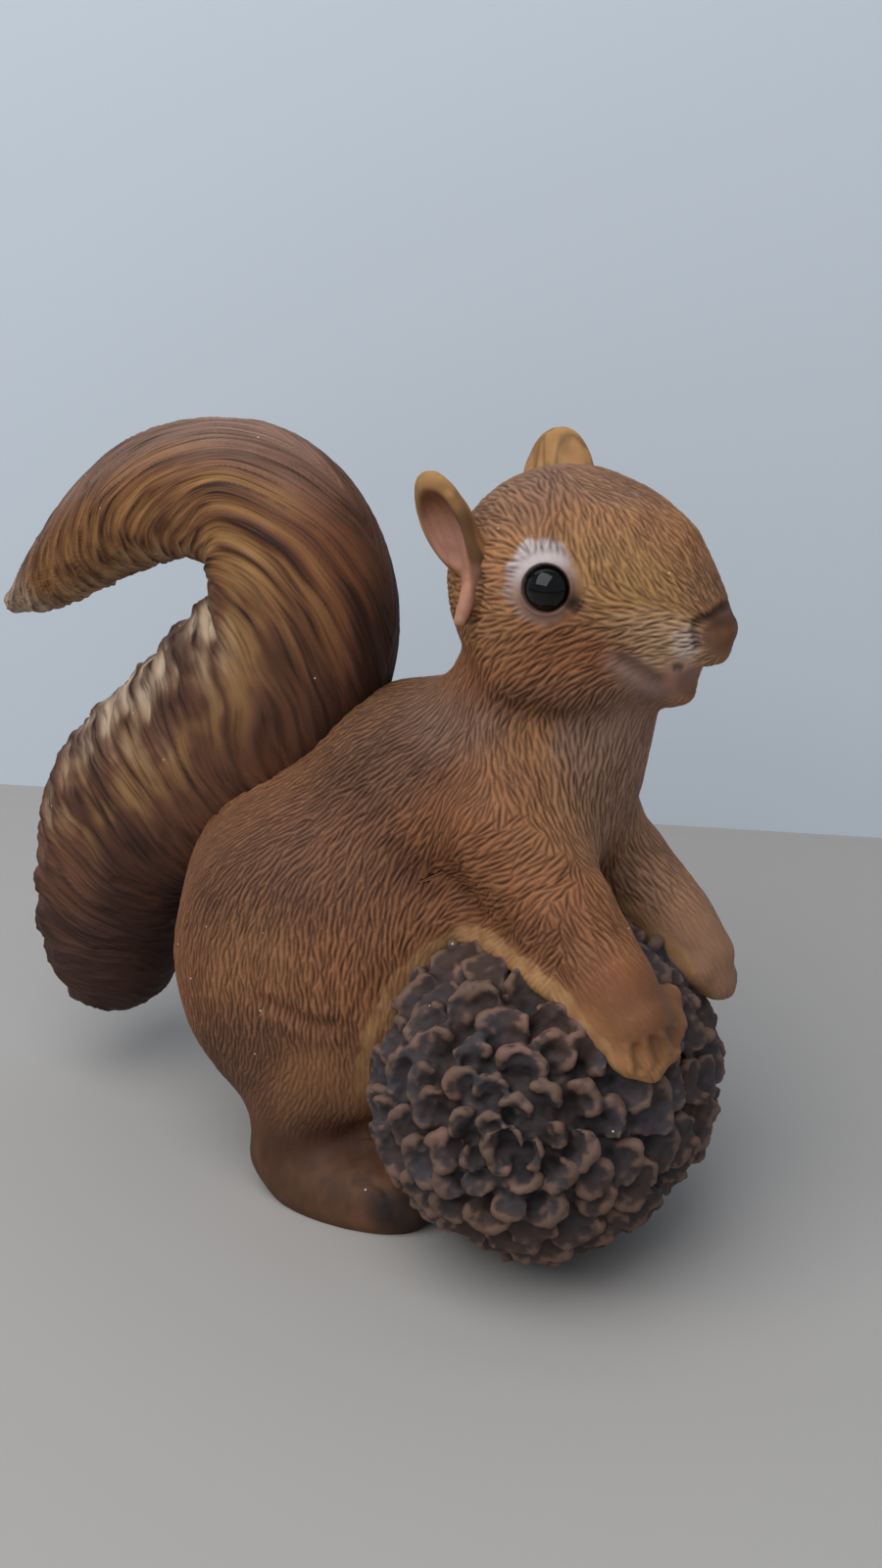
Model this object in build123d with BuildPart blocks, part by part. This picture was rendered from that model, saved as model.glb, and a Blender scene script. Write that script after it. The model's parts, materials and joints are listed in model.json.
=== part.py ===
from build123d import *
import os
from math import cos, pi, sin, sqrt

os.makedirs("parts", exist_ok=True)

# Frame: the squirrel looks along +X, its left side is +Y, and the ground is Z = 0

# Belly, the largest swelling, which everything else is placed from
belly_length = 72
belly_width = 58
belly_height = 72
belly_back_offset = 14
belly_clearance = 12
underbody_length = 48
underbody_width = 38
underbody_height = 42

# Back between the shoulders
back_length = 52
back_width = 46
back_height = 50

# Chest
chest_length = 40
chest_width = 40
chest_height = 44
chest_tilt = 20

# Neck, cut across where the head was cast on
neck_length = 38
neck_width = 36
neck_height = 44

# Head
skull_length = 43
skull_width = 42
skull_height = 41.4
forehead_length = 31
forehead_width = 26
forehead_height = 29.8
cheeks_length = 36
cheeks_width = 42
cheeks_height = 24
muzzle_length = 29
muzzle_width = 22
muzzle_height = 24
muzzle_tilt = 38
nose_length = 9
nose_width = 10
nose_height = 7.5
lip_length = 7.5
lip_width = 9
lip_height = 7.5
head_turn = -5

# Ears
ear_length = 11.2
ear_thickness = 5
ear_height = 21
ear_lean = 20
ear_bowl_depth = 2.6
ear_wall = 1.3
ear_root_diameter = 8

# Eyes
eye_diameter = 8.8

# Hind legs
haunch_length = 56
haunch_width = 28
haunch_height = 62
ankle_diameter = 17
foot_length = 35
foot_width = 14
foot_height = 15
foot_sole_depth = 3
foot_forward = 15
foot_outward = 4

# Forelegs
shoulder_diameter = 22
forearm_diameter = 17.5
paw_diameter = 15

# Pine cone lying across the front, its tip to the squirrel's right
cone_diameter = 65
cone_length = 75
cone_turn = 4.5
cone_tuck = 22
cone_right_offset = 14
cone_sole_depth = 1
scale_rise = 2.2
scale_gap = 1.6
notch_length_share = 0.9
scale_rings = 9
scales_at_middle = 15

# Tail
tail_reach = 85
tail_height = 130
tail_width = 30
tail_thickness = 43
tail_ground_gap = 14
tail_root_length = 24.6
tail_tip_length = 4.4

# Pegs and glue gaps
glue_gap = 0.15
peg_root = 3
neck_peg_diameter = 14
neck_peg_length = 12
ear_peg_diameter = 2.4
ear_peg_length = 4
leg_peg_diameter = 10
leg_peg_length = 9
arm_peg_diameter = 8
arm_peg_length = 8
tail_peg_diameter = 12
tail_peg_length = 12
cone_peg_diameter = 10
cone_peg_length = 10

# Swellings placed on the one before: centre as shares of its half sizes
back_place_shares = (0.47, 0, 0.72)
chest_place_shares = (0.73, 0, 0.32)
neck_place_shares = (0.2, 0, 0.64)
neck_seam_share = 0.23
underbody_rise_share = 1 / 3
skull_place_shares = (0.16, 0, 1.136)
forehead_place_shares = (0.54, 0, 0.12)
cheeks_place_shares = (0.09, 0, -0.58)
muzzle_place_shares = (0.8, 0, -0.15)
nose_place_shares = (1.27, 0, -0.17)
lip_place_shares = (1.0, 0, -0.72)
ear_place_shares = (-0.65, 0.89, 0.6)
ear_root_share = 0.75
eye_place_shares = (0.25, 0.86, 0.21)
haunch_place_shares = (0, 0.76, -0.11)
ankle_place_shares = (-0.11, 0.14, -0.6)

# Forelegs, right then left: shoulder on the chest, wrist and paw tip on the cone, at a share of
# the cone's half size forward and up, and of the shoulder's own place sideways
shoulder_shares = {"right": (0.15, -0.85, -0.09), "left": (0.1, 0.75, -0.18)}
wrist_shares = {"right": (0.49, 1.415, 0.785), "left": (0.43, 0.567, 0.73)}
paw_tip_shares = {"right": (0.877, 1.53, 0.34), "left": (0.77, 0.13, 0.354)}

# How far each swelling of a foreleg runs between shoulder, wrist and paw tip
upper_arm_run_shares = (-0.45, 1.2)
forearm_run_shares = (0.2, 0.7)
paw_run_shares = (-0.05, 1.05)

# Tail sections from the root up and over to the tip: back, up and half thickness
tail_section_shares = [
    (0.696, 0.091, 0.274), (0.70, 0.205, 0.365), (0.634, 0.336, 0.46),
    (0.482, 0.442, 0.502), (0.30, 0.547, 0.50), (0.172, 0.65, 0.474),
    (0.129, 0.742, 0.435), (0.162, 0.825, 0.414), (0.247, 0.883, 0.363),
    (0.38, 0.899, 0.316), (0.513, 0.873, 0.284), (0.636, 0.825, 0.242),
    (0.758, 0.762, 0.186), (0.866, 0.708, 0.114), (0.934, 0.681, 0.049),
]
tail_peg_height_share = 0.5


def halves(size):
    return tuple(side / 2 for side in size)


def beside(centre, size, shares):
    """A point carried by a swelling, at shares of its half sizes from its centre."""
    return tuple(c + h * s for c, h, s in zip(centre, halves(size), shares))


def along(start, end, share):
    """The point a share of the way from start to end, or past either."""
    return tuple(a + (b - a) * share for a, b in zip(start, end))


def swell(centre, size, tilt=(0, 0, 0), mode=Mode.ADD):
    """Adds or cuts one rounded swelling of the given full size."""
    with Locations(Location(centre, tilt)):
        add(scale(unit_ball.part, by=halves(size), mode=Mode.PRIVATE), mode=mode)


def limb(start, end, diameter, mode=Mode.ADD):
    """Adds one long swelling whose two tips are at start and end."""
    axis = Vector(*end) - Vector(*start)
    middle = Plane(origin=along(start, end, 1 / 2), z_dir=axis)
    with Locations(middle.location):
        add(scale(unit_ball.part, by=halves((diameter, diameter, axis.length)), mode=Mode.PRIVATE), mode=mode)


def peg(start, direction, diameter, length, mode=Mode.ADD):
    """Adds or cuts a round peg that starts at a point and runs one way."""
    with Locations(Plane(origin=start, z_dir=direction).location):
        Cylinder(diameter / 2, length, align=(Align.CENTER, Align.CENTER, Align.MIN), mode=mode)


def turned(point, pivot, angle):
    """A point turned about the upright line through a pivot."""
    x, y = point[0] - pivot[0], point[1] - pivot[1]
    c, s = cos(angle * pi / 180), sin(angle * pi / 180)
    return (pivot[0] + c * x - s * y, pivot[1] + s * x + c * y, point[2])


with BuildPart() as unit_ball:
    Sphere(1)

# Sizes and centres of the swellings
belly_size = (belly_length, belly_width, belly_height)
back_size = (back_length, back_width, back_height)
chest_size = (chest_length, chest_width, chest_height)
neck_size = (neck_length, neck_width, neck_height)
skull_size = (skull_length, skull_width, skull_height)
haunch_size = (haunch_length, haunch_width, haunch_height)
belly_centre = (-belly_back_offset, 0, belly_clearance + belly_height / 2)
back_centre = beside(belly_centre, belly_size, back_place_shares)
chest_centre = beside(back_centre, back_size, chest_place_shares)
neck_centre = beside(chest_centre, chest_size, neck_place_shares)
skull_centre = beside(neck_centre, neck_size, skull_place_shares)
seam_height = neck_centre[2] + neck_height / 2 * neck_seam_share
cone_size = (cone_diameter, cone_length, cone_diameter)
belly_front = belly_centre[0] + belly_length / 2
cone_centre = (belly_front + cone_diameter / 2 - cone_tuck, -cone_right_offset, cone_diameter / 2 - cone_sole_depth)

sides = {"right": -1, "left": 1}


def mirrored(shares, side):
    return (shares[0], shares[1] * side, shares[2])


def haunch_centre(side):
    return beside(belly_centre, belly_size, mirrored(haunch_place_shares, side))


def below_ground(mode=Mode.SUBTRACT):
    """Cuts away what is under the ground, so that the part rests on a flat face."""
    reach = tail_reach + cone_length + belly_height
    Box(2 * reach, 2 * reach, reach, align=(Align.CENTER, Align.CENTER, Align.MAX), mode=mode)


# Torso: belly, back, chest, lower neck and the closed underside between the feet
with BuildPart() as torso_form:
    swell(belly_centre, belly_size)
    swell(back_centre, back_size)
    swell(chest_centre, chest_size, (0, chest_tilt, 0))
    swell(neck_centre, neck_size)
    swell((0, 0, underbody_height * underbody_rise_share), (underbody_length, underbody_width, underbody_height))
    split(bisect_by=Plane(origin=(0, 0, seam_height)), keep=Keep.BOTTOM)
    below_ground()


def head_point(centre, size, shares):
    """A point on the head, turned with it."""
    return turned(beside(centre, size, shares), skull_centre, head_turn)


forehead_centre = head_point(skull_centre, skull_size, forehead_place_shares)
cheeks_centre = head_point(skull_centre, skull_size, cheeks_place_shares)
muzzle_centre = head_point(skull_centre, skull_size, muzzle_place_shares)
nose_centre = head_point(skull_centre, skull_size, nose_place_shares)
lip_centre = head_point(skull_centre, skull_size, lip_place_shares)

# Head: skull, forehead, cheeks, muzzle, nose pad and lip on the upper neck
with BuildPart() as head_form:
    swell(skull_centre, skull_size, (0, 0, head_turn))
    swell(forehead_centre, (forehead_length, forehead_width, forehead_height), (0, 0, head_turn))
    swell(cheeks_centre, (cheeks_length, cheeks_width, cheeks_height), (0, 0, head_turn))
    swell(muzzle_centre, (muzzle_length, muzzle_width, muzzle_height), (0, muzzle_tilt, head_turn))
    swell(nose_centre, (nose_length, nose_width, nose_height), (0, 0, head_turn))
    swell(lip_centre, (lip_length, lip_width, lip_height), (0, 0, head_turn))
    swell(neck_centre, neck_size)
    split(bisect_by=Plane(origin=(0, 0, seam_height)), keep=Keep.TOP)


def ear_centre(side):
    return head_point(skull_centre, skull_size, mirrored(ear_place_shares, side))


def ear_tilt(side):
    return (-ear_lean * side, 0, head_turn)


def ear_point(side, outward, upward):
    """A point of an ear's own frame, which leans outward from the skull."""
    frame = Plane(Location(ear_centre(side), ear_tilt(side)))
    return tuple(frame.from_local_coords((0, side * outward, upward)))


def ear_peg(side, mode=Mode.ADD, gap=0):
    """The tenon under an ear, from its root into the skull."""
    start = ear_point(side, 0, -ear_height / 2 * ear_root_share)
    inward = Vector(*skull_centre) - Vector(*start)
    peg(start, inward, ear_peg_diameter + 2 * gap, ear_root_diameter / 2 + ear_peg_length + gap, mode)


def eye_centre(side):
    return head_point(skull_centre, skull_size, mirrored(eye_place_shares, side))


def leg_peg(side, mode=Mode.ADD, gap=0):
    """The peg from a haunch inward into the belly."""
    centre = haunch_centre(side)
    start = (centre[0], side * (belly_width / 2 + peg_root), centre[2])
    peg(start, (0, -side, 0), leg_peg_diameter + 2 * gap, peg_root + leg_peg_length + gap, mode)


def arm_peg(name, mode=Mode.ADD, gap=0):
    """The peg from a shoulder inward into the chest."""
    side = sides[name]
    x, y, z = shoulders[name]
    start = (x, side * (chest_width / 2 + peg_root), z)
    peg(start, (0, -side, 0), arm_peg_diameter + 2 * gap, peg_root + arm_peg_length + gap, mode)


def neck_peg(mode=Mode.ADD, gap=0):
    """The peg under the head, down into the neck."""
    start = (neck_centre[0], 0, seam_height + peg_root)
    peg(start, (0, 0, -1), neck_peg_diameter + 2 * gap, peg_root + neck_peg_length + gap, mode)


def tail_peg(mode=Mode.ADD, gap=0):
    """The peg from the tail forward into the rump."""
    rise = belly_height / 2 * tail_peg_height_share
    rump = belly_centre[0] - belly_length / 2 * sqrt(1 - tail_peg_height_share ** 2)
    start = (rump - peg_root, 0, belly_centre[2] + rise)
    peg(start, (1, 0, 0), tail_peg_diameter + 2 * gap, peg_root + tail_peg_length + gap, mode)


def cone_peg(mode=Mode.ADD, gap=0):
    """The peg from the belly forward into the pine cone."""
    start = (belly_front - cone_peg_length, 0, cone_centre[2])
    peg(start, (1, 0, 0), cone_peg_diameter + 2 * gap, 2 * cone_peg_length + gap, mode)


# Shoulders, wrists and paw tips of the two forelegs
shoulders = {name: beside(chest_centre, chest_size, shoulder_shares[name]) for name in sides}


def on_cone(name, shares):
    """A point over the pine cone that stays in line with its own shoulder."""
    forward, sideways, up = shares
    half = cone_diameter / 2
    return (cone_centre[0] + half * forward, shoulders[name][1] * sideways, cone_centre[2] + half * up)


wrists = {name: on_cone(name, wrist_shares[name]) for name in sides}
paw_tips = {name: on_cone(name, paw_tip_shares[name]) for name in sides}

with BuildPart() as torso:
    add(torso_form.part)
    cone_peg()
    neck_peg(Mode.SUBTRACT, glue_gap)
    tail_peg(Mode.SUBTRACT, glue_gap)
    for name, side in sides.items():
        leg_peg(side, Mode.SUBTRACT, glue_gap)
        arm_peg(name, Mode.SUBTRACT, glue_gap)
torso.part.label = "torso"

with BuildPart() as head:
    add(head_form.part)
    neck_peg()
    for side in sides.values():
        ear_peg(side, Mode.SUBTRACT, glue_gap)
        with Locations(Location(eye_centre(side), (90, 0, 0))):
            Sphere(eye_diameter / 2 + glue_gap, mode=Mode.SUBTRACT)
head.part.label = "head"

# Ears: thin cupped leaves standing on the skull, bowls facing outward
ear_size = (ear_length, ear_thickness, ear_height)
ear_bowl_size = (ear_length - 2 * ear_wall, 2 * ear_bowl_depth, ear_height - 2 * ear_wall)
ears = {}
for name, side in sides.items():
    with BuildPart() as ear:
        swell(ear_centre(side), ear_size, ear_tilt(side))
        swell(ear_point(side, ear_thickness / 2, 0), ear_bowl_size, ear_tilt(side), Mode.SUBTRACT)
        with Locations(ear_point(side, 0, -ear_height / 2 * ear_root_share)):
            Sphere(ear_root_diameter / 2)
        add(head_form.part, mode=Mode.SUBTRACT)
        ear_peg(side)
    ear.part.label = name + "_ear"
    ears[name] = ear

# Eyes: gloss beads glued in round sockets
eyes = {}
for name, side in sides.items():
    with BuildPart() as eye:
        with Locations(Location(eye_centre(side), (90, 0, 0))):
            Sphere(eye_diameter / 2)
    eye.part.label = name + "_eye"
    eyes[name] = eye

# Hind legs: haunch, ankle and a flat foot
ankle_size = (ankle_diameter, ankle_diameter, haunch_height / 2)
foot_size = (foot_length, foot_width, foot_height)
legs = {}
for name, side in sides.items():
    ankle = beside(haunch_centre(side), haunch_size, mirrored(ankle_place_shares, side))
    foot_centre = (ankle[0] + foot_forward, ankle[1] + side * foot_outward, foot_height / 2 - foot_sole_depth)
    with BuildPart() as leg:
        swell(haunch_centre(side), haunch_size)
        swell((ankle[0], ankle[1], haunch_height / 4), ankle_size)
        swell(foot_centre, foot_size)
        below_ground()
        add(torso_form.part, mode=Mode.SUBTRACT)
        leg_peg(side)
    leg.part.label = name + "_hind_leg"
    legs[name] = leg

# Forelegs: upper arm, forearm and paw, laid over the cone
arms = {}
for name, side in sides.items():
    shoulder, wrist, tip = shoulders[name], wrists[name], paw_tips[name]
    with BuildPart() as arm:
        upper_start, upper_end = (along(shoulder, wrist, share) for share in upper_arm_run_shares)
        limb(upper_start, upper_end, shoulder_diameter)
        fore_start, fore_end = forearm_run_shares
        limb(along(shoulder, wrist, fore_start), along(wrist, tip, fore_end), forearm_diameter)
        paw_start, paw_end = (along(wrist, tip, share) for share in paw_run_shares)
        limb(paw_start, paw_end, paw_diameter)
        add(torso_form.part, mode=Mode.SUBTRACT)
        arm_peg(name)
    arm.part.label = name + "_foreleg"
    arms[name] = arm

# Tail: one sweep of round sections that curls over at its tip
half_thickness = [tail_thickness * half for back, up, half in tail_section_shares]
middle_line = [
    Vector(belly_centre[0] - tail_reach * back, 0, tail_ground_gap + tail_height * up)
    for back, up, half in tail_section_shares
]
with BuildPart() as tail:
    for place, (middle, half) in enumerate(zip(middle_line, half_thickness)):
        before = middle_line[max(place - 1, 0)]
        after = middle_line[min(place + 1, len(middle_line) - 1)]
        with BuildSketch(Plane(origin=middle, x_dir=(0, 1, 0), z_dir=after - before)):
            Ellipse(min(tail_width / 2, half), half)
    loft()
    swell(tuple(middle_line[0]), (tail_root_length, tail_root_length, tail_root_length))
    swell(tuple(middle_line[-1]), (tail_tip_length, tail_tip_length, tail_tip_length))
    add(torso_form.part, mode=Mode.SUBTRACT)
    for leg in legs.values():
        add(leg.part, mode=Mode.SUBTRACT)
    tail_peg()
tail.part.label = "tail"


# Pine cone: rings of overlapping scales, parted by notches
def cone_outline(angle, rise):
    """A point of the cone's half outline, lifted or sunk by a rise."""
    radius = (cone_diameter / 2 + rise) * cos(angle)
    return (radius, (cone_length / 2 + rise) * sin(angle))


ring_angles = [-pi / 2 + pi * ring / scale_rings for ring in range(scale_rings + 1)]
with BuildPart() as cone_form:
    with BuildSketch(Plane.XZ):
        with BuildLine():
            corners = [(0, -cone_length / 2 + scale_rise / 2)]
            for low, high in zip(ring_angles[:-2], ring_angles[1:-1]):
                corners.append(cone_outline(high, scale_rise / 2))
                corners.append(cone_outline(high, -scale_rise / 2))
            corners.append((0, cone_length / 2 + scale_rise / 2))
            Polyline(*corners, close=True)
        make_face()
    revolve(axis=Axis.Z)
    for ring, (low, high) in list(enumerate(zip(ring_angles, ring_angles[1:])))[1:-1]:
        middle = (low + high) / 2
        radius, height = cone_outline(middle, -scale_rise / 2)
        near, far = Vector(*cone_outline(low, 0)), Vector(*cone_outline(high, 0))
        count = max(round(scales_at_middle * cos(middle)), 3)
        notch = Plane(origin=(radius, 0, height), x_dir=(0, 1, 0), z_dir=(far.Y - near.Y, 0, near.X - far.X))
        with PolarLocations(0, count, start_angle=180 / count * (ring % 2)):
            with Locations(notch.location):
                Box(scale_gap, (far - near).length * notch_length_share, 2 * scale_rise,
                    align=(Align.CENTER, Align.CENTER, Align.MIN), mode=Mode.SUBTRACT)

with BuildPart() as pine_cone:
    with Locations(Location(cone_centre, (90, 0, cone_turn))):
        add(cone_form.part)
    below_ground()
    add(torso_form.part, mode=Mode.SUBTRACT)
    for limb_part in list(legs.values()) + list(arms.values()):
        add(limb_part.part, mode=Mode.SUBTRACT)
    cone_peg(Mode.SUBTRACT, glue_gap)
pine_cone.part.label = "pine_cone"

pieces = [torso, head, tail, pine_cone, *ears.values(), *eyes.values(), *legs.values(), *arms.values()]
for piece in pieces:
    export_step(piece.part, f"parts/{piece.part.label}.step")
    print(piece.part.label, piece.part.is_valid, round(piece.part.volume), len(piece.part.solids()))
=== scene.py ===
"""A painted cast squirrel that hugs a pine cone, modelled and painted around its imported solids.

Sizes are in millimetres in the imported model's frame: +X is the way the squirrel looks, +Y its left, +Z up.
"""

import json
import logging
from collections.abc import Callable
from dataclasses import dataclass, field
from enum import Enum

import bpy
import numpy as np
from mathutils import Euler, Matrix, Vector, kdtree

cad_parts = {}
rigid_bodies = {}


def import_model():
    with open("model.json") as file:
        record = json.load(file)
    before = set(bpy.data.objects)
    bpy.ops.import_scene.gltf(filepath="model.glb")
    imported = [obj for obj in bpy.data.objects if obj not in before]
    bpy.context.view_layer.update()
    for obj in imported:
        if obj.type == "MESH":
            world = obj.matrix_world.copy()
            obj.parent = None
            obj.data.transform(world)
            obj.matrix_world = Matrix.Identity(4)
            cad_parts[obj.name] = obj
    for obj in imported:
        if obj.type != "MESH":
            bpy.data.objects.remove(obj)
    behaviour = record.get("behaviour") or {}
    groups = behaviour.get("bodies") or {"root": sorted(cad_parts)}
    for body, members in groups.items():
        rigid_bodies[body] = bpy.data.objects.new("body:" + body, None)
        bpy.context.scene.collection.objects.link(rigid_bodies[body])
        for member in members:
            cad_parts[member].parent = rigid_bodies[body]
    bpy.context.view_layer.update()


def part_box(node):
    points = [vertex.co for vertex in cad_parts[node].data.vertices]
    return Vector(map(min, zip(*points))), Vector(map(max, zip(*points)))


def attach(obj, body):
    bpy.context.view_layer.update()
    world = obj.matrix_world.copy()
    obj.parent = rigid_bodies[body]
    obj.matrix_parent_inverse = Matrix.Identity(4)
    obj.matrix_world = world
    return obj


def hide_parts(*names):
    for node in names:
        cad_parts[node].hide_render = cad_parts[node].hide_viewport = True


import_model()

MM = 0.001
LOG = logging.getLogger("squirrel")
Array = np.ndarray
Pair = tuple[Array, Array]
Piece = bpy.types.Object
Finish = bpy.types.Material
Point = tuple[float, float, float]
Pixel = tuple[float, float]


class Side(Enum):
    """The squirrel's two sides, as the sign of Y."""

    RIGHT = -1
    LEFT = 1

    @property
    def word(self) -> str:
        """The side's name in node names."""
        return self.name.lower()


# Small tools for points and meshes


def unit(vectors: Array) -> Array:
    """Vectors brought to length one."""
    return vectors / np.maximum(np.linalg.norm(vectors, axis=-1, keepdims=True), 1e-9)


def ease(value: Array) -> Array:
    """A smooth step from 0 to 1, held outside that range."""
    held = np.clip(value, 0, 1)
    return held * held * (3 - 2 * held)


def mix(first: Array, second: Array, share: Array) -> Array:
    """The first value, moved a share of the way to the second."""
    return first + (second - first) * share


def bell(value: Array, middle: float, width: float) -> Array:
    """A smooth bump, one high at its middle."""
    return np.exp(-((value - middle) / width) ** 2)


def above_floor(points: Array) -> Array:
    """The points, with those under the floor lifted onto it."""
    return np.maximum(points, (-np.inf, -np.inf, 0.0))


def lengths_along(rows: Array) -> Array:
    """How far along a line of places each one lies. The first three columns are the place."""
    runs = np.linalg.norm(np.diff(rows[:, :3], axis=0), axis=1)
    return np.concatenate([[0], np.cumsum(runs)])


def deselect_all() -> None:
    """Leaves nothing selected, because an operator acts on all that is."""
    bpy.ops.object.select_all(action="DESELECT")


def add_object(name: str, data: bpy.types.ID) -> Piece:
    """Puts a mesh, a lamp or a camera into the scene.

    Args:
        name: The object's name.
        data: What it shows.

    Returns:
        The object, at the origin.
    """
    obj = bpy.data.objects.new(name, data)
    bpy.context.scene.collection.objects.link(obj)
    return obj


def apply_modifier(obj: Piece, kind: str, **settings: object) -> None:
    """Adds a modifier with its settings and applies it.

    Args:
        obj: The object to change.
        kind: The modifier's type.
        settings: The modifier's settings.
    """
    deselect_all()
    obj.select_set(True)
    bpy.context.view_layer.objects.active = obj
    modifier = obj.modifiers.new(kind.lower(), kind)
    for name, value in settings.items():
        setattr(modifier, name, value)
    bpy.ops.object.modifier_apply(modifier=modifier.name)


def joined(parts: list[Piece]) -> Piece:
    """Joins objects into the first of them.

    Args:
        parts: The objects, which are used up.

    Returns:
        The object that holds them all.
    """
    deselect_all()
    for part in parts:
        part.select_set(True)
    bpy.context.view_layer.objects.active = parts[0]
    bpy.ops.object.join()
    return bpy.context.object


def read_rows(items: bpy.types.bpy_prop_collection, word: str, width: int, kind: type) -> Array:
    """Reads one property of all a mesh's points, edges or corners.

    Args:
        items: The mesh's own list of them.
        word: The property.
        width: How many numbers each holds.
        kind: The numbers' type.

    Returns:
        The numbers, with one item to a row.
    """
    flat = np.empty(len(items) * width, kind)
    items.foreach_get(word, flat)
    return flat.reshape(-1, width)


def read_points(obj: Piece) -> Array:
    """A mesh's points in millimetres, as rows."""
    return read_rows(obj.data.vertices, "co", 3, np.float32).astype(np.float64) / MM


def write_points(obj: Piece, points: Array) -> None:
    """Moves a mesh's points to the given places in millimetres."""
    obj.data.vertices.foreach_set("co", (points * MM).astype(np.float32).ravel())
    obj.data.update()


def read_edges(obj: Piece) -> Array:
    """The pairs of points that a mesh's edges join."""
    return read_rows(obj.data.edges, "vertices", 2, np.int32)


def read_quads(obj: Piece) -> Array:
    """The corners of a mesh's faces, four to a row."""
    return read_rows(obj.data.loops, "vertex_index", 1, np.int32).reshape(-1, 4)


def take_mesh(lump: Piece) -> Pair:
    """Reads a lump's points and faces, and removes it.

    Args:
        lump: The object, its faces all of four corners.

    Returns:
        The points in millimetres, and the faces.
    """
    points, quads = read_points(lump), read_quads(lump)
    bpy.data.objects.remove(lump)
    return points, quads


def mean_of_neighbours(values: Array, edges: Array) -> Array:
    """Each point's mean of what its neighbours along the edges hold.

    Args:
        values: One row or number for each point.
        edges: Pairs of points.

    Returns:
        The means, shaped as the values.
    """
    count = len(values)
    ends = np.concatenate([edges[:, 0], edges[:, 1]])
    others = np.concatenate([edges[:, 1], edges[:, 0]])
    degree = np.maximum(np.bincount(ends, minlength=count), 1)
    columns = values.reshape(count, -1)
    sums = [np.bincount(ends, weights=column[others], minlength=count) / degree for column in columns.T]
    return np.stack(sums, axis=1).reshape(values.shape)


def point_normals(points: Array, quads: Array) -> Array:
    """Outward unit normals at a quad mesh's points.

    Args:
        points: Places in millimetres, one to a row.
        quads: The faces, four point numbers to a row.

    Returns:
        One direction for each point.
    """
    a, b, c, d = (points[quads[:, corner]] for corner in range(4))
    across = np.cross(c - a, d - b)
    corners = quads.T.ravel()
    sums = [np.bincount(corners, weights=np.tile(part, 4), minlength=len(points)) for part in across.T]
    return unit(np.stack(sums, axis=1))


def mirrored_to_right(rows: Array) -> Array:
    """Places moved to the right side of Y zero.

    Args:
        rows: Places in millimetres, one to a row.

    Returns:
        The same places, with those on the left mirrored.
    """
    near = rows.copy()
    near[:, 1] = -np.abs(near[:, 1])
    return near


def distance_to_line(places: Array, corners: Array) -> Pair:
    """How far places lie from a bent line, and where along it the nearest point is.

    Args:
        places: Rows of coordinates, in any number of dimensions.
        corners: The line's corners, as rows.

    Returns:
        The distances, and the share of the line's length at the nearest point.
    """
    runs = np.linalg.norm(np.diff(corners, axis=0), axis=1)
    starts = np.concatenate([[0], np.cumsum(runs)])
    best = np.full(len(places), np.inf)
    share = np.zeros(len(places))
    for corner, step, run, start in zip(corners, np.diff(corners, axis=0), runs, starts):
        part = np.clip((places - corner) @ step / run**2, 0, 1)
        gap = np.linalg.norm(places - corner - part[:, None] * step, axis=1)
        nearer = gap < best
        best[nearer] = gap[nearer]
        share[nearer] = (start + part[nearer] * run) / starts[-1]
    return best, share


def smooth_curve(corners: Array, count: int, steps: int = 24) -> Array:
    """Even samples of a smooth curve through rows of values.

    Args:
        corners: Rows of values, the first three of which are a place.
        count: How many samples to take.
        steps: How finely each stretch is worked out before that.

    Returns:
        The samples, evenly spaced along the places.
    """
    padded = np.vstack([2 * corners[0] - corners[1], corners, 2 * corners[-1] - corners[-2]])
    share = np.linspace(0, 1, steps, endpoint=False)[:, None]
    rows = []
    for before, start, end, after in zip(padded, padded[1:], padded[2:], padded[3:]):
        rows.append(
            0.5 * (2 * start + (end - before) * share
                   + (2 * before - 5 * start + 4 * end - after) * share**2
                   + (3 * start - before - 3 * end + after) * share**3))
    dense = np.vstack(rows + [corners[-1:]])
    run = lengths_along(dense)
    even = np.linspace(0, run[-1], count)
    return np.stack([np.interp(even, run, column) for column in dense.T], axis=1)


@dataclass(frozen=True)
class Clay:
    """Seeded lumps and grain, as a sculptor's hand leaves them."""

    seed: int

    def lumps(self, places: Array, size: float | Array = 1.0) -> Array:
        """Smooth bumps of about one size.

        Args:
            places: Rows of three coordinates.
            size: How far apart the bumps are, along all axes or each.

        Returns:
            Heights from -1 to 1.
        """
        scaled = places / size
        cell = np.floor(scaled).astype(np.int64)
        part = scaled - cell
        part = part * part * (3 - 2 * part)
        total = np.zeros(len(places))
        for corner in np.ndindex(2, 2, 2):
            weight = np.prod(np.where(corner, part, 1 - part), axis=1)
            total += weight * self._value(cell + np.array(corner))
        return total * 2 - 1

    def _value(self, cell: Array) -> Array:
        """A fixed number from 0 to 1 for each whole-numbered cell.

        Args:
            cell: Three whole numbers to a row.

        Returns:
            One number for each row.
        """
        mixed = cell[:, 0] * 374761393 + cell[:, 1] * 668265263 + cell[:, 2] * 1274126177 + self.seed * 69069
        mixed = (mixed ^ (mixed >> 13)) & 0xFFFFFFFF
        mixed = (mixed * 1103515245 + 12345) & 0xFFFFFFFF
        mixed = ((mixed ^ (mixed >> 16)) * 668265263) & 0xFFFFFFFF
        return ((mixed ^ (mixed >> 15)) & 0xFFFFFF) / 0xFFFFFF

    def rough(self, places: Array, size: float | Array = 1.0, layers: int = 3) -> Array:
        """Bumps with finer bumps on them, from about -1 to 1.

        Args:
            places: Places in millimetres, one to a row.
            size: How far apart the largest bumps are, along all axes or each.
            layers: How many sizes of bump there are, each half the last.

        Returns:
            The heights.
        """
        total = np.zeros(len(places))
        for layer in range(layers):
            shifted = places + 17.3 * layer
            total += self.lumps(shifted, size / 2.0**layer) / 2.0**layer
        return total / (2 - 2.0 ** (1 - layers))


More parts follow.
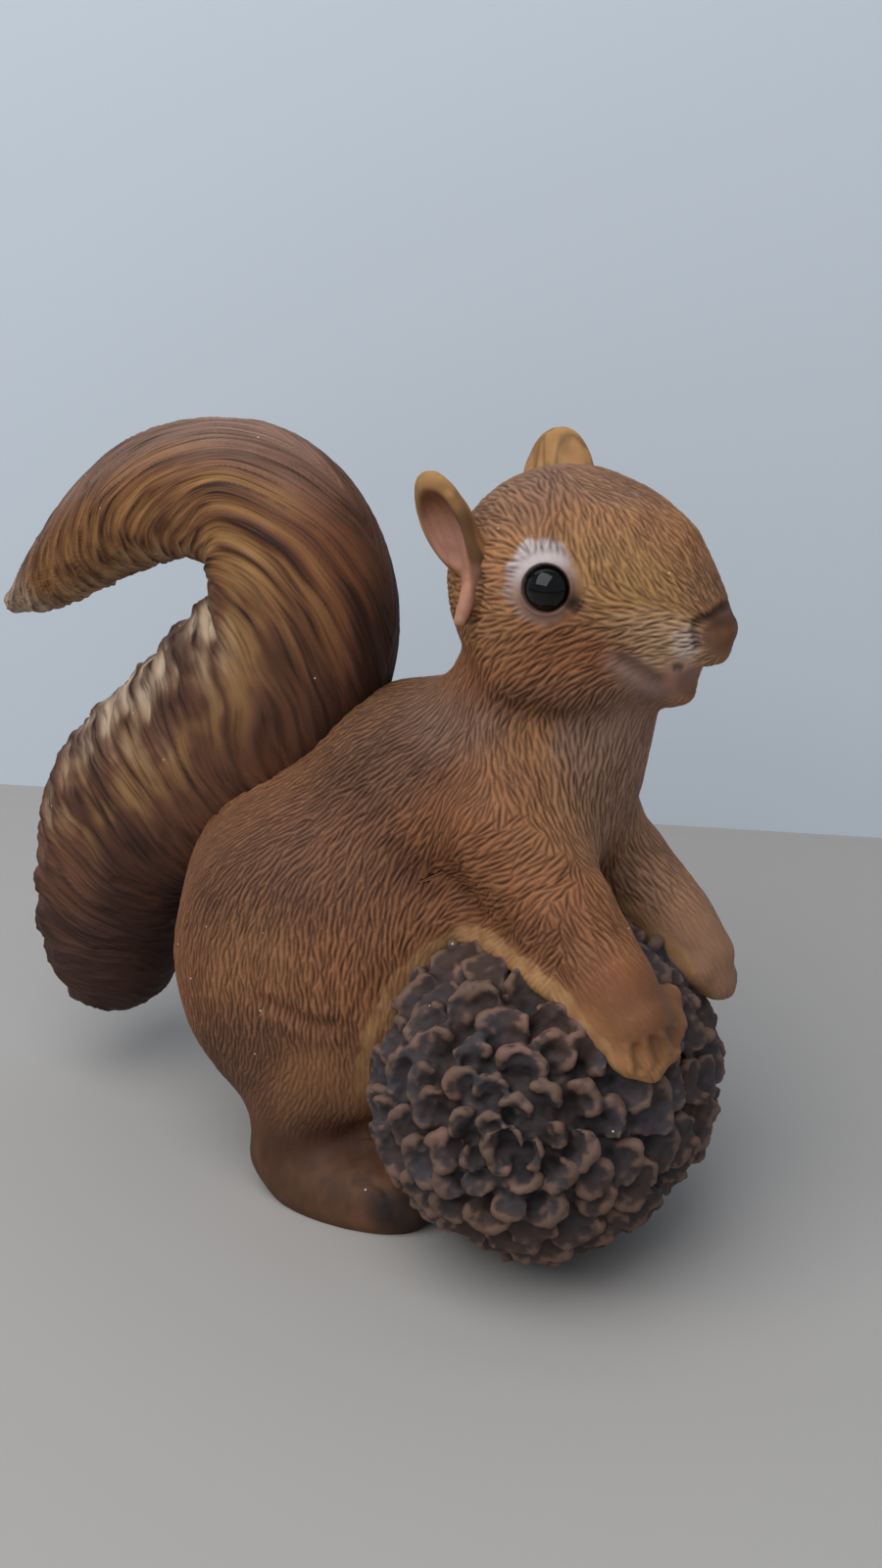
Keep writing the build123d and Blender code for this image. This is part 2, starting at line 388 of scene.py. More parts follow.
@dataclass(frozen=True)
class PhotoCamera:
    """The photograph's viewpoint, solved from where the figurine stands in it."""

    azimuth: float = 26.0
    pitch: float = 21.75
    height: float = 214.0
    focal_px: float = 1975.0
    width_px: float = 900.0
    height_px: float = 1600.0
    origin_px: Pixel = (432.0, 1162.0)
    sensor: float = 36.0

    def axes(self) -> tuple[Array, Array, Array]:
        """The directions to the picture's right, to its top, and ahead.

        Returns:
            Three unit directions.
        """
        turn, dip = np.radians(self.azimuth), np.radians(self.pitch)
        ahead = np.array([-np.sin(turn) * np.cos(dip), np.cos(turn) * np.cos(dip), -np.sin(dip)])
        right = np.array([np.cos(turn), np.sin(turn), 0.0])
        return right, np.cross(right, ahead), ahead

    def ray(self, pixel: Pixel) -> Array:
        """The direction in which a pixel looks.

        Args:
            pixel: A pixel of the photograph.

        Returns:
            The direction, one unit deep into the picture.
        """
        right, top, ahead = self.axes()
        x, y = pixel
        return (ahead + right * (x - self.width_px / 2) / self.focal_px
                - top * (y - self.height_px / 2) / self.focal_px)

    def place(self) -> Array:
        """Where the camera stands, so that the frame's origin shows at its pixel."""
        sight = self.ray(self.origin_px)
        return sight * self.height / sight[2]

    def meets(self, pixel: Pixel, axis: int, value: float) -> Array:
        """The point of the plane where one coordinate has a value, seen at a pixel."""
        sight, start = self.ray(pixel), self.place()
        return start + sight * (value - start[axis]) / sight[axis]

    def pixels(self, points: Array) -> Array:
        """Where points show in the photograph.

        Args:
            points: Places in millimetres, one to a row.

        Returns:
            Pixels across and down, one pair to a row.
        """
        right, top, ahead = self.axes()
        away = points - self.place()
        depth = away @ ahead
        x = self.width_px / 2 + self.focal_px * (away @ right) / depth
        y = self.height_px / 2 - self.focal_px * (away @ top) / depth
        return np.stack([x, y], axis=1)

    def build(self) -> None:
        """Adds the camera and makes it the scene's own."""
        lens = bpy.data.cameras.new("photo_camera")
        lens.sensor_width = self.sensor
        lens.lens = self.focal_px / self.height_px * self.sensor
        lens.clip_start, lens.clip_end = 0.01, 20.0
        camera = add_object("photo_camera", lens)
        camera.location = self.place() * MM
        camera.rotation_euler = Vector(self.axes()[2]).to_track_quat("-Z", "Y").to_euler()
        bpy.context.scene.camera = camera


PHOTO = PhotoCamera()
CONE_CENTRE: Point = (32.5, -14.0, 31.5)
CONE_TURN = 4.5


# The animal's flesh, as rounded forms that run into one another


@dataclass(frozen=True)
class Swelling:
    """One rounded form, an ellipsoid."""

    centre: Point
    half: Point
    tilt: float = 0.0
    turn: float = 0.0
    roll: float = 0.0
    blend: float = 10.0

    def angles(self) -> Euler:
        """How the form is turned about the frame's X, Y and Z."""
        return Euler(np.radians([self.roll, self.tilt, self.turn]))

    def axes(self) -> Array:
        """The form's own axes, as columns."""
        return np.array(self.angles().to_matrix())

    def measure(self, points: Array) -> Pair:
        """How far points lie outside the form, and which way is out.

        Args:
            points: Places in millimetres, one to a row.

        Returns:
            The distances, less than zero inside, and the outward directions.
        """
        axes, half = self.axes(), np.array(self.half)
        local = (points - np.array(self.centre)) @ axes
        reach = np.linalg.norm(local / half, axis=1)
        away = local / half**2
        slope = np.linalg.norm(away, axis=1)
        return reach * (reach - 1) / np.maximum(slope, 1e-9), unit(away) @ axes.T

    def block(self) -> None:
        """Adds the form's rough ball, to be fused with the rest."""
        bpy.ops.mesh.primitive_uv_sphere_add(segments=40, ring_count=24, radius=MM)
        ball = bpy.context.object
        ball.scale = self.half
        ball.rotation_euler = self.angles()
        ball.location = Vector(self.centre) * MM
        bpy.ops.object.transform_apply()


@dataclass(frozen=True)
class Limb:
    """A tapering round limb between two points."""

    start: Point
    end: Point
    start_radius: float
    end_radius: float
    blend: float = 6.0

    def measure(self, points: Array) -> Pair:
        """How far points lie outside the limb, and which way is out.

        Args:
            points: Places in millimetres, one to a row.

        Returns:
            The distances, less than zero inside, and the outward directions.
        """
        start, run = np.array(self.start), np.array(self.end) - np.array(self.start)
        share = np.clip((points - start) @ run / (run @ run), 0, 1)
        radius = mix(self.start_radius, self.end_radius, share)
        away = points - start - share[:, None] * run
        return np.linalg.norm(away, axis=1) - radius, unit(away)

    def block(self) -> None:
        """Adds the limb's rough cone and end balls, to be fused with the rest."""
        start, end = Vector(self.start), Vector(self.end)
        bpy.ops.mesh.primitive_cone_add(
            vertices=32, radius1=self.start_radius * MM, radius2=self.end_radius * MM,
            depth=(end - start).length * MM, location=(start + end) / 2 * MM,
            rotation=(end - start).to_track_quat("Z", "Y").to_euler())
        bpy.ops.object.transform_apply()
        for place, radius in ((self.start, self.start_radius), (self.end, self.end_radius)):
            Swelling(place, (radius, radius, radius)).block()


@dataclass(frozen=True)
class FleshGroup:
    """The forms of one piece of the animal, and how softly it joins the rest."""

    node: str
    forms: tuple[Swelling | Limb, ...]
    join: float
    cuts: tuple[Swelling | Limb, ...] = ()

    def measure(self, points: Array) -> Pair:
        """How far points lie outside the group, and which way is out.

        Args:
            points: Places in millimetres, one to a row.

        Returns:
            The distances, less than zero inside, and the outward directions.
        """
        total = self.forms[0].measure(points)
        for form in self.forms[1:]:
            total = run_together(total, form.measure(points), form.blend)
        for cut in self.cuts:
            outside, outward = cut.measure(points)
            inside, inward = run_together((-total[0], -total[1]), (outside, outward), cut.blend)
            total = (-inside, -inward)
        return total


def run_together(first: Pair, second: Pair, blend: float) -> Pair:
    """Joins two forms by a soft hollow, and adds nothing where they already run level.

    Args:
        first: Distances to one form, and its outward directions.
        second: Distances to the other, and its outward directions.
        blend: How wide the hollow is where they meet square.

    Returns:
        Distances to both together, and the outward directions.
    """
    (near, near_out), (far, far_out) = first, second
    corner = np.sqrt(np.maximum(1 - np.sum(near_out * far_out, axis=1), 0))
    width = np.maximum(blend * corner, 0.01)
    overlap = np.maximum(width - np.abs(near - far), 0) / width
    share = np.clip(0.5 + 0.5 * (near - far) / width, 0, 1)
    total = np.minimum(near, far) - overlap**2 * width / 4
    return total, unit(mix(near_out, far_out, share[:, None]))


def fuse_blocks(groups: tuple[FleshGroup, ...], voxel: float) -> Piece:
    """Fuses the rough balls and cones of some groups into one closed lump.

    Args:
        groups: The groups to block out.
        voxel: How fine the lump is, in millimetres.

    Returns:
        The lump, its faces all of four corners.
    """
    before = set(bpy.data.objects)
    for group in groups:
        for form in group.forms:
            deselect_all()
            form.block()
    lump = joined([obj for obj in bpy.data.objects if obj not in before])
    apply_modifier(lump, "REMESH", mode="VOXEL", voxel_size=voxel * MM)
    return lump


def settle(lump: Piece, measure: Callable, rounds: int, slack: float = 0.5,
           longest_step: float = 1.5) -> None:
    """Smooths a lump onto the forms that it was blocked from, and flat onto the ground.

    Args:
        lump: The mesh to move.
        measure: Gives how far points lie outside the forms, and which way is out.
        rounds: How many times its points are evened out and drawn to the forms.
        slack: The share of the way that each evening-out moves a point.
        longest_step: How far a point may be drawn at once, in millimetres.
    """
    points, edges = read_points(lump), read_edges(lump)
    for _ in range(rounds):
        points = mix(points, mean_of_neighbours(points, edges), slack)
        outside, outward = measure(points)
        points = above_floor(points - outward * np.clip(outside, -longest_step, longest_step)[:, None])
    write_points(lump, points)


@dataclass(frozen=True)
class Torso:
    """Belly, back, chest, neck and the closed underside."""

    belly_half: Point = (36, 29, 36)
    belly: Point = (-14, 0, 48)
    back_half: Point = (26, 23, 25)
    back: Point = (2.9, 0, 73.9)
    chest_half: Point = (20, 20, 22)
    chest: Point = (21.9, 0, 81.9)
    chest_tilt: float = 20
    neck_half: Point = (19, 18, 22)
    neck: Point = (25.9, 0, 96)
    underside_half: Point = (24, 19, 21)
    underside: Point = (0, 0, 14)

    def group(self) -> FleshGroup:
        """The torso's forms.

        Returns:
            The group for the torso's node.
        """
        return FleshGroup("torso", (
            Swelling(self.belly, self.belly_half),
            Swelling(self.back, self.back_half, blend=14),
            Swelling(self.chest, self.chest_half, tilt=self.chest_tilt, blend=10),
            Swelling(self.neck, self.neck_half, blend=10),
            Swelling(self.underside, self.underside_half, blend=8)), join=4)


@dataclass(frozen=True)
class Head:
    """Skull, forehead, cheeks, muzzle, nose pad and lip, turned a little to the right."""

    turn: float = -5
    skull_half: Point = (21.5, 21, 20.7)
    skull: Point = (28.9, 0, 121)
    forehead_half: Point = (15.5, 13, 14.9)
    forehead: Point = (39.8, 0, 123.4)
    cheeks_half: Point = (18, 20.5, 12)
    cheeks: Point = (30.4, 0, 109)
    muzzle_half: Point = (14.5, 11, 12)
    muzzle: Point = (46.1, 0, 117.8)
    muzzle_tilt: float = 38
    nose_half: Point = (4.2, 4.6, 3.9)
    nose: Point = (56.4, 0, 117.2)
    lip_half: Point = (3.6, 4.2, 3.9)
    lip: Point = (50.3, 0, 106.1)
    throat_start: Point = (40.5, 0, 104.0)
    throat_end: Point = (34.0, 0, 84.0)
    throat_radii: tuple[float, float] = (7.0, 8.5)
    recess: Point = (56.9, 0, 107.3)
    recess_reach: float = 14.0
    recess_radius: float = 4.2

    def turned(self, place: Point) -> Point:
        """A place on the head after the head's turn about the skull."""
        pivot = Vector(self.skull)
        return tuple(Matrix.Rotation(np.radians(self.turn), 3, "Z") @ (Vector(place) - pivot) + pivot)

    def folded(self, points: Array) -> Array:
        """Places of the head's left half moved to its right half, across its own middle.

        Args:
            points: Places in millimetres, one to a row.

        Returns:
            The same places, all on the head's right half.
        """
        turn = np.array(Matrix.Rotation(np.radians(self.turn), 3, "Z"))
        local = (points - np.array(self.skull)) @ turn
        return mirrored_to_right(local) @ turn.T + np.array(self.skull)

    def group(self) -> FleshGroup:
        """The head's forms, and the recess between nose and lip.

        Returns:
            The group for the head's node.
        """
        x, y, z = self.recess
        return FleshGroup("head", (
            Swelling(self.skull, self.skull_half, turn=self.turn),
            Swelling(self.turned(self.forehead), self.forehead_half, turn=self.turn, blend=12),
            Swelling(self.turned(self.cheeks), self.cheeks_half, turn=self.turn, blend=7),
            Swelling(self.turned(self.muzzle), self.muzzle_half, tilt=self.muzzle_tilt,
                     turn=self.turn, blend=9),
            Swelling(self.turned(self.nose), self.nose_half, turn=self.turn, blend=1.5),
            Swelling(self.turned(self.lip), self.lip_half, turn=self.turn, blend=2.5),
            Limb(self.turned(self.throat_start), self.turned(self.throat_end), *self.throat_radii, blend=5)),
            join=4, cuts=(Limb(*(self.turned((x, y + side, z))
                                 for side in (-self.recess_reach, self.recess_reach)),
                               self.recess_radius, self.recess_radius, blend=1.2),))


@dataclass(frozen=True)
class Foreleg:
    """Shoulder, forearm and a paw with its fingers, laid over the cone.

    The cast edge is where the mould's resin ran out between the forearm and the cone's scales.
    """

    side: Side
    shoulder: Point
    wrist: Point
    knuckles: Point
    fingers: tuple[Point, ...]
    cast_edge: tuple[Point, ...] = ()
    armpit: tuple[Swelling, ...] = ()
    edge_radius: float = 2.0
    shoulder_radius: float = 11.0
    elbow_radius: float = 9.4
    wrist_radius: float = 7.6
    knuckle_radius: float = 6.6
    finger_radius: float = 2.3

    def group(self) -> FleshGroup:
        """The foreleg's forms.

        Returns:
            The group for this leg's node.
        """
        shoulder, wrist = np.array(self.shoulder), np.array(self.wrist)
        elbow = tuple(mix(shoulder, wrist, 0.5))
        fingers = (Limb(self.knuckles, finger, self.finger_radius + 1.4, self.finger_radius, blend=3.5)
                   for finger in self.fingers)
        edge = self.cast_edge
        strips = (Limb(start, end, self.edge_radius, self.edge_radius, blend=4)
                  for start, end in zip(edge, edge[1:]))
        shares = np.linspace(0.15, 1.0, len(edge))
        webs = (Limb(point, tuple(mix(shoulder, wrist, share)), self.edge_radius,
                     0.65 * self.elbow_radius, blend=5) for point, share in zip(edge, shares))
        return FleshGroup(self.side.word + "_foreleg", (
            Limb(self.shoulder, elbow, self.shoulder_radius, self.elbow_radius),
            Limb(elbow, self.wrist, self.elbow_radius, self.wrist_radius, blend=6),
            Limb(self.wrist, self.knuckles, self.wrist_radius, self.knuckle_radius, blend=6),
            *fingers, *strips, *webs, *self.armpit), join=9)


@dataclass(frozen=True)
class HindLeg:
    """Haunch, ankle and a flat foot with its toes."""

    side: Side
    haunch_half: Point = (28, 14, 31)
    haunch: Point = (-14, 22, 44)
    ankle_top: Point = (-13.5, 24, 24)
    ankle_foot: Point = (-16.5, 25, 7.5)
    ankle_radius: float = 9.0
    foot_half: Point = (18, 7.6, 8.2)
    foot: Point = (-2.6, 28, 3.6)

    def placed(self, place: Point) -> Point:
        """A place of the left leg, moved to this leg's side."""
        return (place[0], place[1] * self.side.value, place[2])

    def group(self) -> FleshGroup:
        """The hind leg's forms.

        Returns:
            The group for this leg's node.
        """
        return FleshGroup(self.side.word + "_hind_leg", (
            Swelling(self.placed(self.haunch), self.haunch_half),
            Limb(self.placed(self.ankle_top), self.placed(self.ankle_foot), self.ankle_radius,
                 self.ankle_radius - 1, blend=8),
            Swelling(self.placed(self.foot), self.foot_half, blend=5)), join=12)


# Paint pots and what the brush does with them


class Pot(Enum):
    """The painter's colours, as they look dry on the casting."""

    OCHRE = "#a4754b"
    GOLD = "#b28a55"
    SAND = "#bb9a79"
    TAN = "#966344"
    CHESTNUT = "#834f30"
    UMBER = "#67412e"
    DARK_UMBER = "#40281f"
    TAUPE = "#987766"
    GREY_BROWN = "#755a4e"
    ROSE = "#a87a6c"
    PINK = "#b98471"
    MAUVE = "#96807c"
    WHITE = "#cdc4c6"
    BLACK = "#231d1d"
    FLASH = "#ae8559"
    CREAM = "#d3bfa8"
    BRUSHED = "#b98b64"
    SLATE = "#413a3d"
    BARK = "#45332c"
    RIM = "#785d4e"

    def linear(self) -> Array:
        """The colour as linear red, green, blue and full cover."""
        return np.array(to_linear(self.value))


def to_linear(code: str) -> tuple[float, float, float, float]:
    """An sRGB hex colour as the linear red, green, blue and full cover that a shader takes."""
    parts = [int(code[place:place + 2], 16) / 255 for place in (1, 3, 5)]
    return (*(part / 12.92 if part <= 0.04045 else ((part + 0.055) / 1.055) ** 2.4 for part in parts), 1.0)


def lay(paint: Array, pot: Pot, cover: Array) -> Array:
    """The paint with a pot's colour laid over it, by each place's cover from 0 to 1."""
    return mix(paint, pot.linear(), cover[:, None])


@dataclass(frozen=True)
class Patch:
    """A soft oval patch, where it shows in the photograph."""

    centre_px: Pixel
    reach_px: Pixel
    strength: float = 1.0
    lean: float = 0.0

    def cover(self, pixels: Array) -> Array:
        """How strongly the patch covers each place, from 0 to its strength.

        Args:
            pixels: Where the places show, one pixel to a row.

        Returns:
            The cover of each place.
        """
        away = pixels - np.array(self.centre_px)
        turn = np.radians(self.lean)
        along = away[:, 0] * np.cos(turn) - away[:, 1] * np.sin(turn)
        across = away[:, 0] * np.sin(turn) + away[:, 1] * np.cos(turn)
        reach = np.hypot(along / self.reach_px[0], across / self.reach_px[1])
        return self.strength * ease(1.5 - reach)


@dataclass(frozen=True)
class Sight:
    """How a skin's points show in the photograph, its far side mirrored to the near one."""

    pixels: Array
    facing: Array
    pieces: Array
    names: tuple[str, ...]
    mm_per_px: float = 1 / 5.84

    def belongs(self, nodes: tuple[str, ...]) -> Array:
        """One for the points of the named pieces, and zero for the rest."""
        wanted = [place for place, name in enumerate(self.names) if name in nodes]
        return np.isin(self.pieces, wanted).astype(float)


@dataclass(frozen=True)
class Furrow:
    """A line pressed into the clay, where it shows in the photograph."""

    corners_px: tuple[Pixel, ...]
    depth: float
    width: float
    nodes: tuple[str, ...]
    lip: float = 0.0
    wash: float = 0.8

    def press(self, sight: Sight) -> Pair:
        """How far each point moves outwards, and how much paint it takes.

        Args:
            sight: Where the points show, and what they belong to.

        Returns:
            The moves in millimetres, and the cover from 0 to 1.
        """
        gap, share = distance_to_line(sight.pixels, np.array(self.corners_px))
        gap = gap * sight.mm_per_px
        ends = ease(np.minimum(share, 1 - share) * 5)
        seen = sight.belongs(self.nodes) * ease(sight.facing * 6) * ends
        groove = bell(gap, 0, self.width)
        lips = bell(gap, 1.9 * self.width, 0.9 * self.width)
        return seen * (self.lip * lips - self.depth * groove), seen * groove * self.wash


@dataclass(frozen=True)
class FurLie:
    """Which way the fur lies, read off the photograph: a pixel, and the stroke's angle there."""

    marks: tuple[tuple[float, float, float], ...]
    softness_px: float = 9.0
    depth: float = -20.0

    def directions(self, points: Array, normals: Array) -> Array:
        """Unit directions along the fur, lying in the surface.

        Args:
            points: Places on the skin.
            normals: The skin's outward directions there.

        Returns:
            One direction for each place.
        """
        pixels = PHOTO.pixels(mirrored_to_right(points))
        doubled = np.zeros((len(points), 2))
        for x, y, angle in self.marks:
            step = (x + 10 * np.cos(np.radians(angle)), y - 10 * np.sin(np.radians(angle)))
            run = PHOTO.meets(step, 1, self.depth) - PHOTO.meets((x, y), 1, self.depth)
            slope = 2 * np.arctan2(run[2], run[0])
            gap = (pixels[:, 0] - x) ** 2 + (pixels[:, 1] - y) ** 2
            weight = 1 / (gap + self.softness_px**2) ** 2
            doubled += weight[:, None] * np.array([np.cos(slope), np.sin(slope)])
        slope = np.arctan2(doubled[:, 1], doubled[:, 0]) / 2
        run = np.stack([np.cos(slope), np.zeros(len(slope)), np.sin(slope)], axis=1)
        return unit(run - normals * np.sum(run * normals, axis=1, keepdims=True))


@dataclass(frozen=True)
class FurTool:
    """The pointed tool that scores the fur, stroke by stroke."""

    pitch: float = 0.74
    length: float = 5.2
    width: float = 0.26
    depth: float = 0.44
    wander: float = 7.0
    bend: float = 0.05
    tries_per_mm2: float = 4.5
    skin_spacing: float = 0.275
    seed: int = 11

    def strokes(self, points: Array, normals: Array, lie: FurLie, scale: Array) -> dict:
        """Picks the strokes, evenly spread and never on top of one another.

        Args:
            points: The skin's points.
            normals: Their outward directions.
            lie: Which way the fur lies.
            scale: How long and wide strokes are at each point, as a share of the usual.

        Returns:
            The chosen strokes' centres, directions and sizes.
        """
        rng = np.random.default_rng(self.seed)
        count = int(len(points) * self.skin_spacing**2 * self.tries_per_mm2)
        chosen = rng.choice(len(points), size=count, replace=False)
        centres, outward, scale = points[chosen], normals[chosen], scale[chosen]
        along = lie.directions(centres, outward)
        sideways = np.cross(outward, along)
        turn = np.radians(self.wander) * rng.normal(size=count)[:, None]
        along = along * np.cos(turn) + sideways * np.sin(turn)
        sideways = np.cross(outward, along)
        reach = self.length * scale * rng.uniform(0.7, 1.3, count)
        tree = kdtree.KDTree(count)
        for place, centre in enumerate(centres):
            tree.insert(centre, place)
        tree.balance()
        free = np.ones(count, bool)
        kept = []
        for place in range(count):
            if not free[place]:
                continue
            kept.append(place)
            near = np.array([hit[1] for hit in tree.find_range(centres[place], 0.8 * reach[place])])
            step = centres[near] - centres[place]
            crowd = ((step @ along[place] / (0.55 * reach[place])) ** 2
                     + (step @ sideways[place] / (self.pitch * scale[place])) ** 2)
            free[near[crowd < 1]] = False
        return {"centre": centres[kept], "along": along[kept], "sideways": sideways[kept],
                "reach": reach[kept], "width": self.width * np.sqrt(scale[kept]),
                "bend": rng.normal(size=len(kept)) * self.bend,
                "force": rng.uniform(0.55, 1.0, len(kept))}

    def score(self, points: Array, strokes: dict) -> Array:
        """How deep the strokes are at each point, from 0 to 1.

        Args:
            points: The skin's points.
            strokes: What strokes() gave.

        Returns:
            The depth of the scoring.
        """
        tree = kdtree.KDTree(len(points))
        for place, point in enumerate(points.tolist()):
            tree.insert(point, place)
        tree.balance()
        scored = np.zeros(len(points))
        for centre, along, sideways, reach, width, bend, force in zip(*strokes.values()):
            near = np.array([hit[1] for hit in tree.find_range(centre, reach / 2 + width)])
            if not len(near):
                continue
            step = points[near] - centre
            run = step @ along
            off = step @ sideways - bend * run**2
            taper = np.maximum(1 - (2 * run / reach) ** 2, 0)
            cut = force * taper * bell(off, 0, width)
            scored[near] = np.maximum(scored[near], cut)
        return scored


# What the sculptor and the painter did, read off the photograph in its pixels

FUR_MARKS = (
    # Crown, forehead and muzzle
    (496, 573, 172), (501, 598, 168), (494, 615, 175), (496, 638, 15), (504, 530, 150), (524, 517, 125),
    (559, 535, 97), (597, 532, 95), (622, 532, 100), (635, 565, 112), (610, 580, 104), (650, 585, 122),
    (680, 595, 135), (703, 605, 145), (715, 590, 133), (698, 550, 128), (660, 525, 115), (622, 500, 150),
    (572, 495, 100), (524, 500, 130), (610, 615, 150), (622, 630, 172), (660, 638, 178), (685, 643, 178),
    (693, 658, 175),
    # Cheek and throat
    (635, 651, 5), (600, 658, 12), (559, 666, 25), (524, 658, 35), (496, 666, 42), (479, 688, 62),
    (504, 691, 52), (471, 651, 45), (534, 688, 38), (466, 714, 80), (496, 721, 65), (569, 769, 100),
    (612, 778, 75), (635, 750, 65), (658, 743, 55), (601, 831, 100), (630, 801, 80), (587, 858, 85),
    # Neck, shoulder and upper arm
    (490, 769, 100), (463, 801, 75), (451, 769, 50), (520, 789, 115), (516, 819, 110), (486, 824, 80),
    (527, 847, 40), (497, 860, 30), (536, 870, 35), (543, 881, 38), (509, 893, 20), (555, 904, 30),
    (555, 927, 50), (548, 967, 42), (474, 938, 15), (550, 847, 115), (560, 930, 120), (600, 960, 130),
    (601, 980, 130), (640, 1010, 125), (670, 880, 130),
    # Back, flank and haunch
    (387, 980, 88), (400, 940, 75), (440, 927, 55), (427, 959, 65), (337, 884, 68), (274, 842, 58),
    (400, 821, 55), (412, 779, 50), (358, 791, 42), (295, 821, 45), (231, 884, 62), (189, 926, 80),
    (253, 947, 85), (316, 968, 92), (379, 947, 82), (210, 1010, 95), (274, 1031, 92), (217, 1076, 80),
    (294, 1057, 92), (332, 1063, 95), (275, 1105, 60),
)

FURROWS = (
    # Mouth, and the pit above the lip
    Furrow(((684, 700), (668, 694), (652, 684), (636, 672), (628, 664)), 0.8, 1.1, ("head",),
           lip=0.2, wash=0.45),
    Furrow(((686, 684), (692, 682), (698, 685)), 0.5, 0.7, ("head",)),
    # Crease over the nose pad, and its edge beside the muzzle
    Furrow(((704, 636), (716, 633), (728, 628), (740, 618), (750, 606)), 0.8, 0.8, ("head",)),
    Furrow(((708, 636), (710, 646), (712, 656), (714, 668)), 0.8, 0.8, ("head",), wash=0.5),
    # Fold at the eye's front corner
    Furrow(((577, 630), (588, 621), (597, 607)), -0.45, 0.6, ("head",), wash=0.0),
    # Groove beside the near ear's lobe
    Furrow(((488, 575), (488, 600), (485, 620), (480, 645)), 0.7, 0.8, ("head",), wash=0.5),
    # Fold where the foreleg leaves the flank
    Furrow(((392, 850), (408, 884), (430, 912), (452, 934)), 0.7, 2.6, ("torso", "right_foreleg"), wash=0.2),
    # Crease of the haunch
    Furrow(((250, 1004), (267, 1021), (294, 1034), (319, 1045), (360, 1052)), 0.6, 1.2,
           ("right_hind_leg", "left_hind_leg", "torso"), lip=0.25, wash=0.12),
    # Gaps between the fingers
    Furrow(((648, 1062), (650, 1080), (655, 1099)), 0.6, 0.8, ("right_foreleg",), lip=0.3, wash=0.35),
    Furrow(((665, 1054), (670, 1072), (676, 1090)), 0.6, 0.8, ("right_foreleg",), lip=0.3, wash=0.35),
    Furrow(((680, 1046), (687, 1060), (694, 1074)), 0.5, 0.8, ("right_foreleg",), lip=0.3, wash=0.35),
    # Edges of the toes
    Furrow(((356, 1216), (364, 1207), (378, 1205), (392, 1214), (398, 1228)), 0.4, 0.7,
           ("right_hind_leg", "left_hind_leg"), wash=0.0),
)

QUIET = (
    # Nose pad, lip, throat, lower haunch and lower forearm
    Patch((740, 645), (22, 30), 0.95),
    Patch((694, 692), (20, 22), 0.95),
    Patch((655, 692), (40, 17), 0.75, -25),
    Patch((648, 726), (45, 24), 0.4, 40),
    Patch((300, 1130), (110, 60), 0.5),
    Patch((655, 1030), (60, 50), 0.45, -50),
)

DABS = (
    # Back and flank
    (Pot.CHESTNUT, Patch((330, 960), (210, 170), 0.8, 20)),
    (Pot.UMBER, Patch((340, 860), (190, 80), 0.85, 38)),
    (Pot.UMBER, Patch((410, 920), (60, 90), 0.5)),
    (Pot.DARK_UMBER, Patch((415, 742), (120, 62), 0.8, 40)),
    (Pot.DARK_UMBER, Patch((230, 880), (75, 100), 0.5, 50)),
    (Pot.OCHRE, Patch((255, 990), (45, 60), 0.3)),
    (Pot.UMBER, Patch((270, 1110), (130, 90), 0.8)),
    (Pot.DARK_UMBER, Patch((230, 1090), (60, 60), 0.55)),
    (Pot.OCHRE, Patch((335, 1108), (55, 38), 0.45)),
    (Pot.DARK_UMBER, Patch((320, 1195), (115, 62), 0.8)),
    (Pot.BLACK, Patch((365, 1232), (85, 30), 0.35, -18)),
    (Pot.BLACK, Patch((418, 1240), (44, 24), 0.98, -15)),
    # Neck, throat, chest and shoulder
    (Pot.TAUPE, Patch((470, 730), (50, 45), 0.5)),
    (Pot.TAUPE, Patch((625, 785), (60, 85), 0.95)),
    (Pot.TAUPE, Patch((625, 735), (60, 32), 0.9, 30)),
    (Pot.OCHRE, Patch((545, 850), (50, 70), 0.6, -50)),
    (Pot.CHESTNUT, Patch((500, 830), (60, 60), 0.5, 30)),
    (Pot.CHESTNUT, Patch((470, 880), (60, 70), 0.7, 30)),
    # Forearm and paw
    (Pot.CHESTNUT, Patch((590, 950), (110, 60), 0.85, -45)),
    (Pot.UMBER, Patch((570, 975), (60, 30), 0.5, -40)),
    (Pot.UMBER, Patch((665, 1040), (45, 45), 0.6)),
    (Pot.OCHRE, Patch((665, 1085), (40, 18), 0.7, 20)),
    # Crown, forehead, cheek and muzzle
    (Pot.GREY_BROWN, Patch((520, 505), (55, 35), 0.6, 20)),
    (Pot.GREY_BROWN, Patch((610, 485), (110, 30), 0.7, -8)),
    (Pot.GOLD, Patch((640, 600), (75, 50), 0.6, -25)),
    (Pot.GREY_BROWN, Patch((735, 585), (26, 42), 0.45, -50)),
    (Pot.SAND, Patch((672, 655), (60, 28), 0.95, -4)),
    (Pot.CHESTNUT, Patch((550, 675), (100, 40), 0.95, 8)),
    (Pot.UMBER, Patch((565, 712), (80, 20), 0.85, 5)),
    (Pot.OCHRE, Patch((500, 640), (35, 40), 0.5)),
    # Nose pad, lip and the ear's lobe
    (Pot.UMBER, Patch((735, 648), (26, 22), 0.85, 10)),
    (Pot.DARK_UMBER, Patch((742, 628), (22, 12), 0.8, 20)),
    (Pot.WHITE, Patch((700, 658), (14, 17), 0.45)),
    (Pot.MAUVE, Patch((655, 690), (40, 16), 0.55, -25)),
    (Pot.ROSE, Patch((694, 690), (19, 17), 0.85)),
    (Pot.MAUVE, Patch((692, 682), (9, 5), 0.6)),
)


# The skin: one sculpted casting, cut into the pieces that the record names


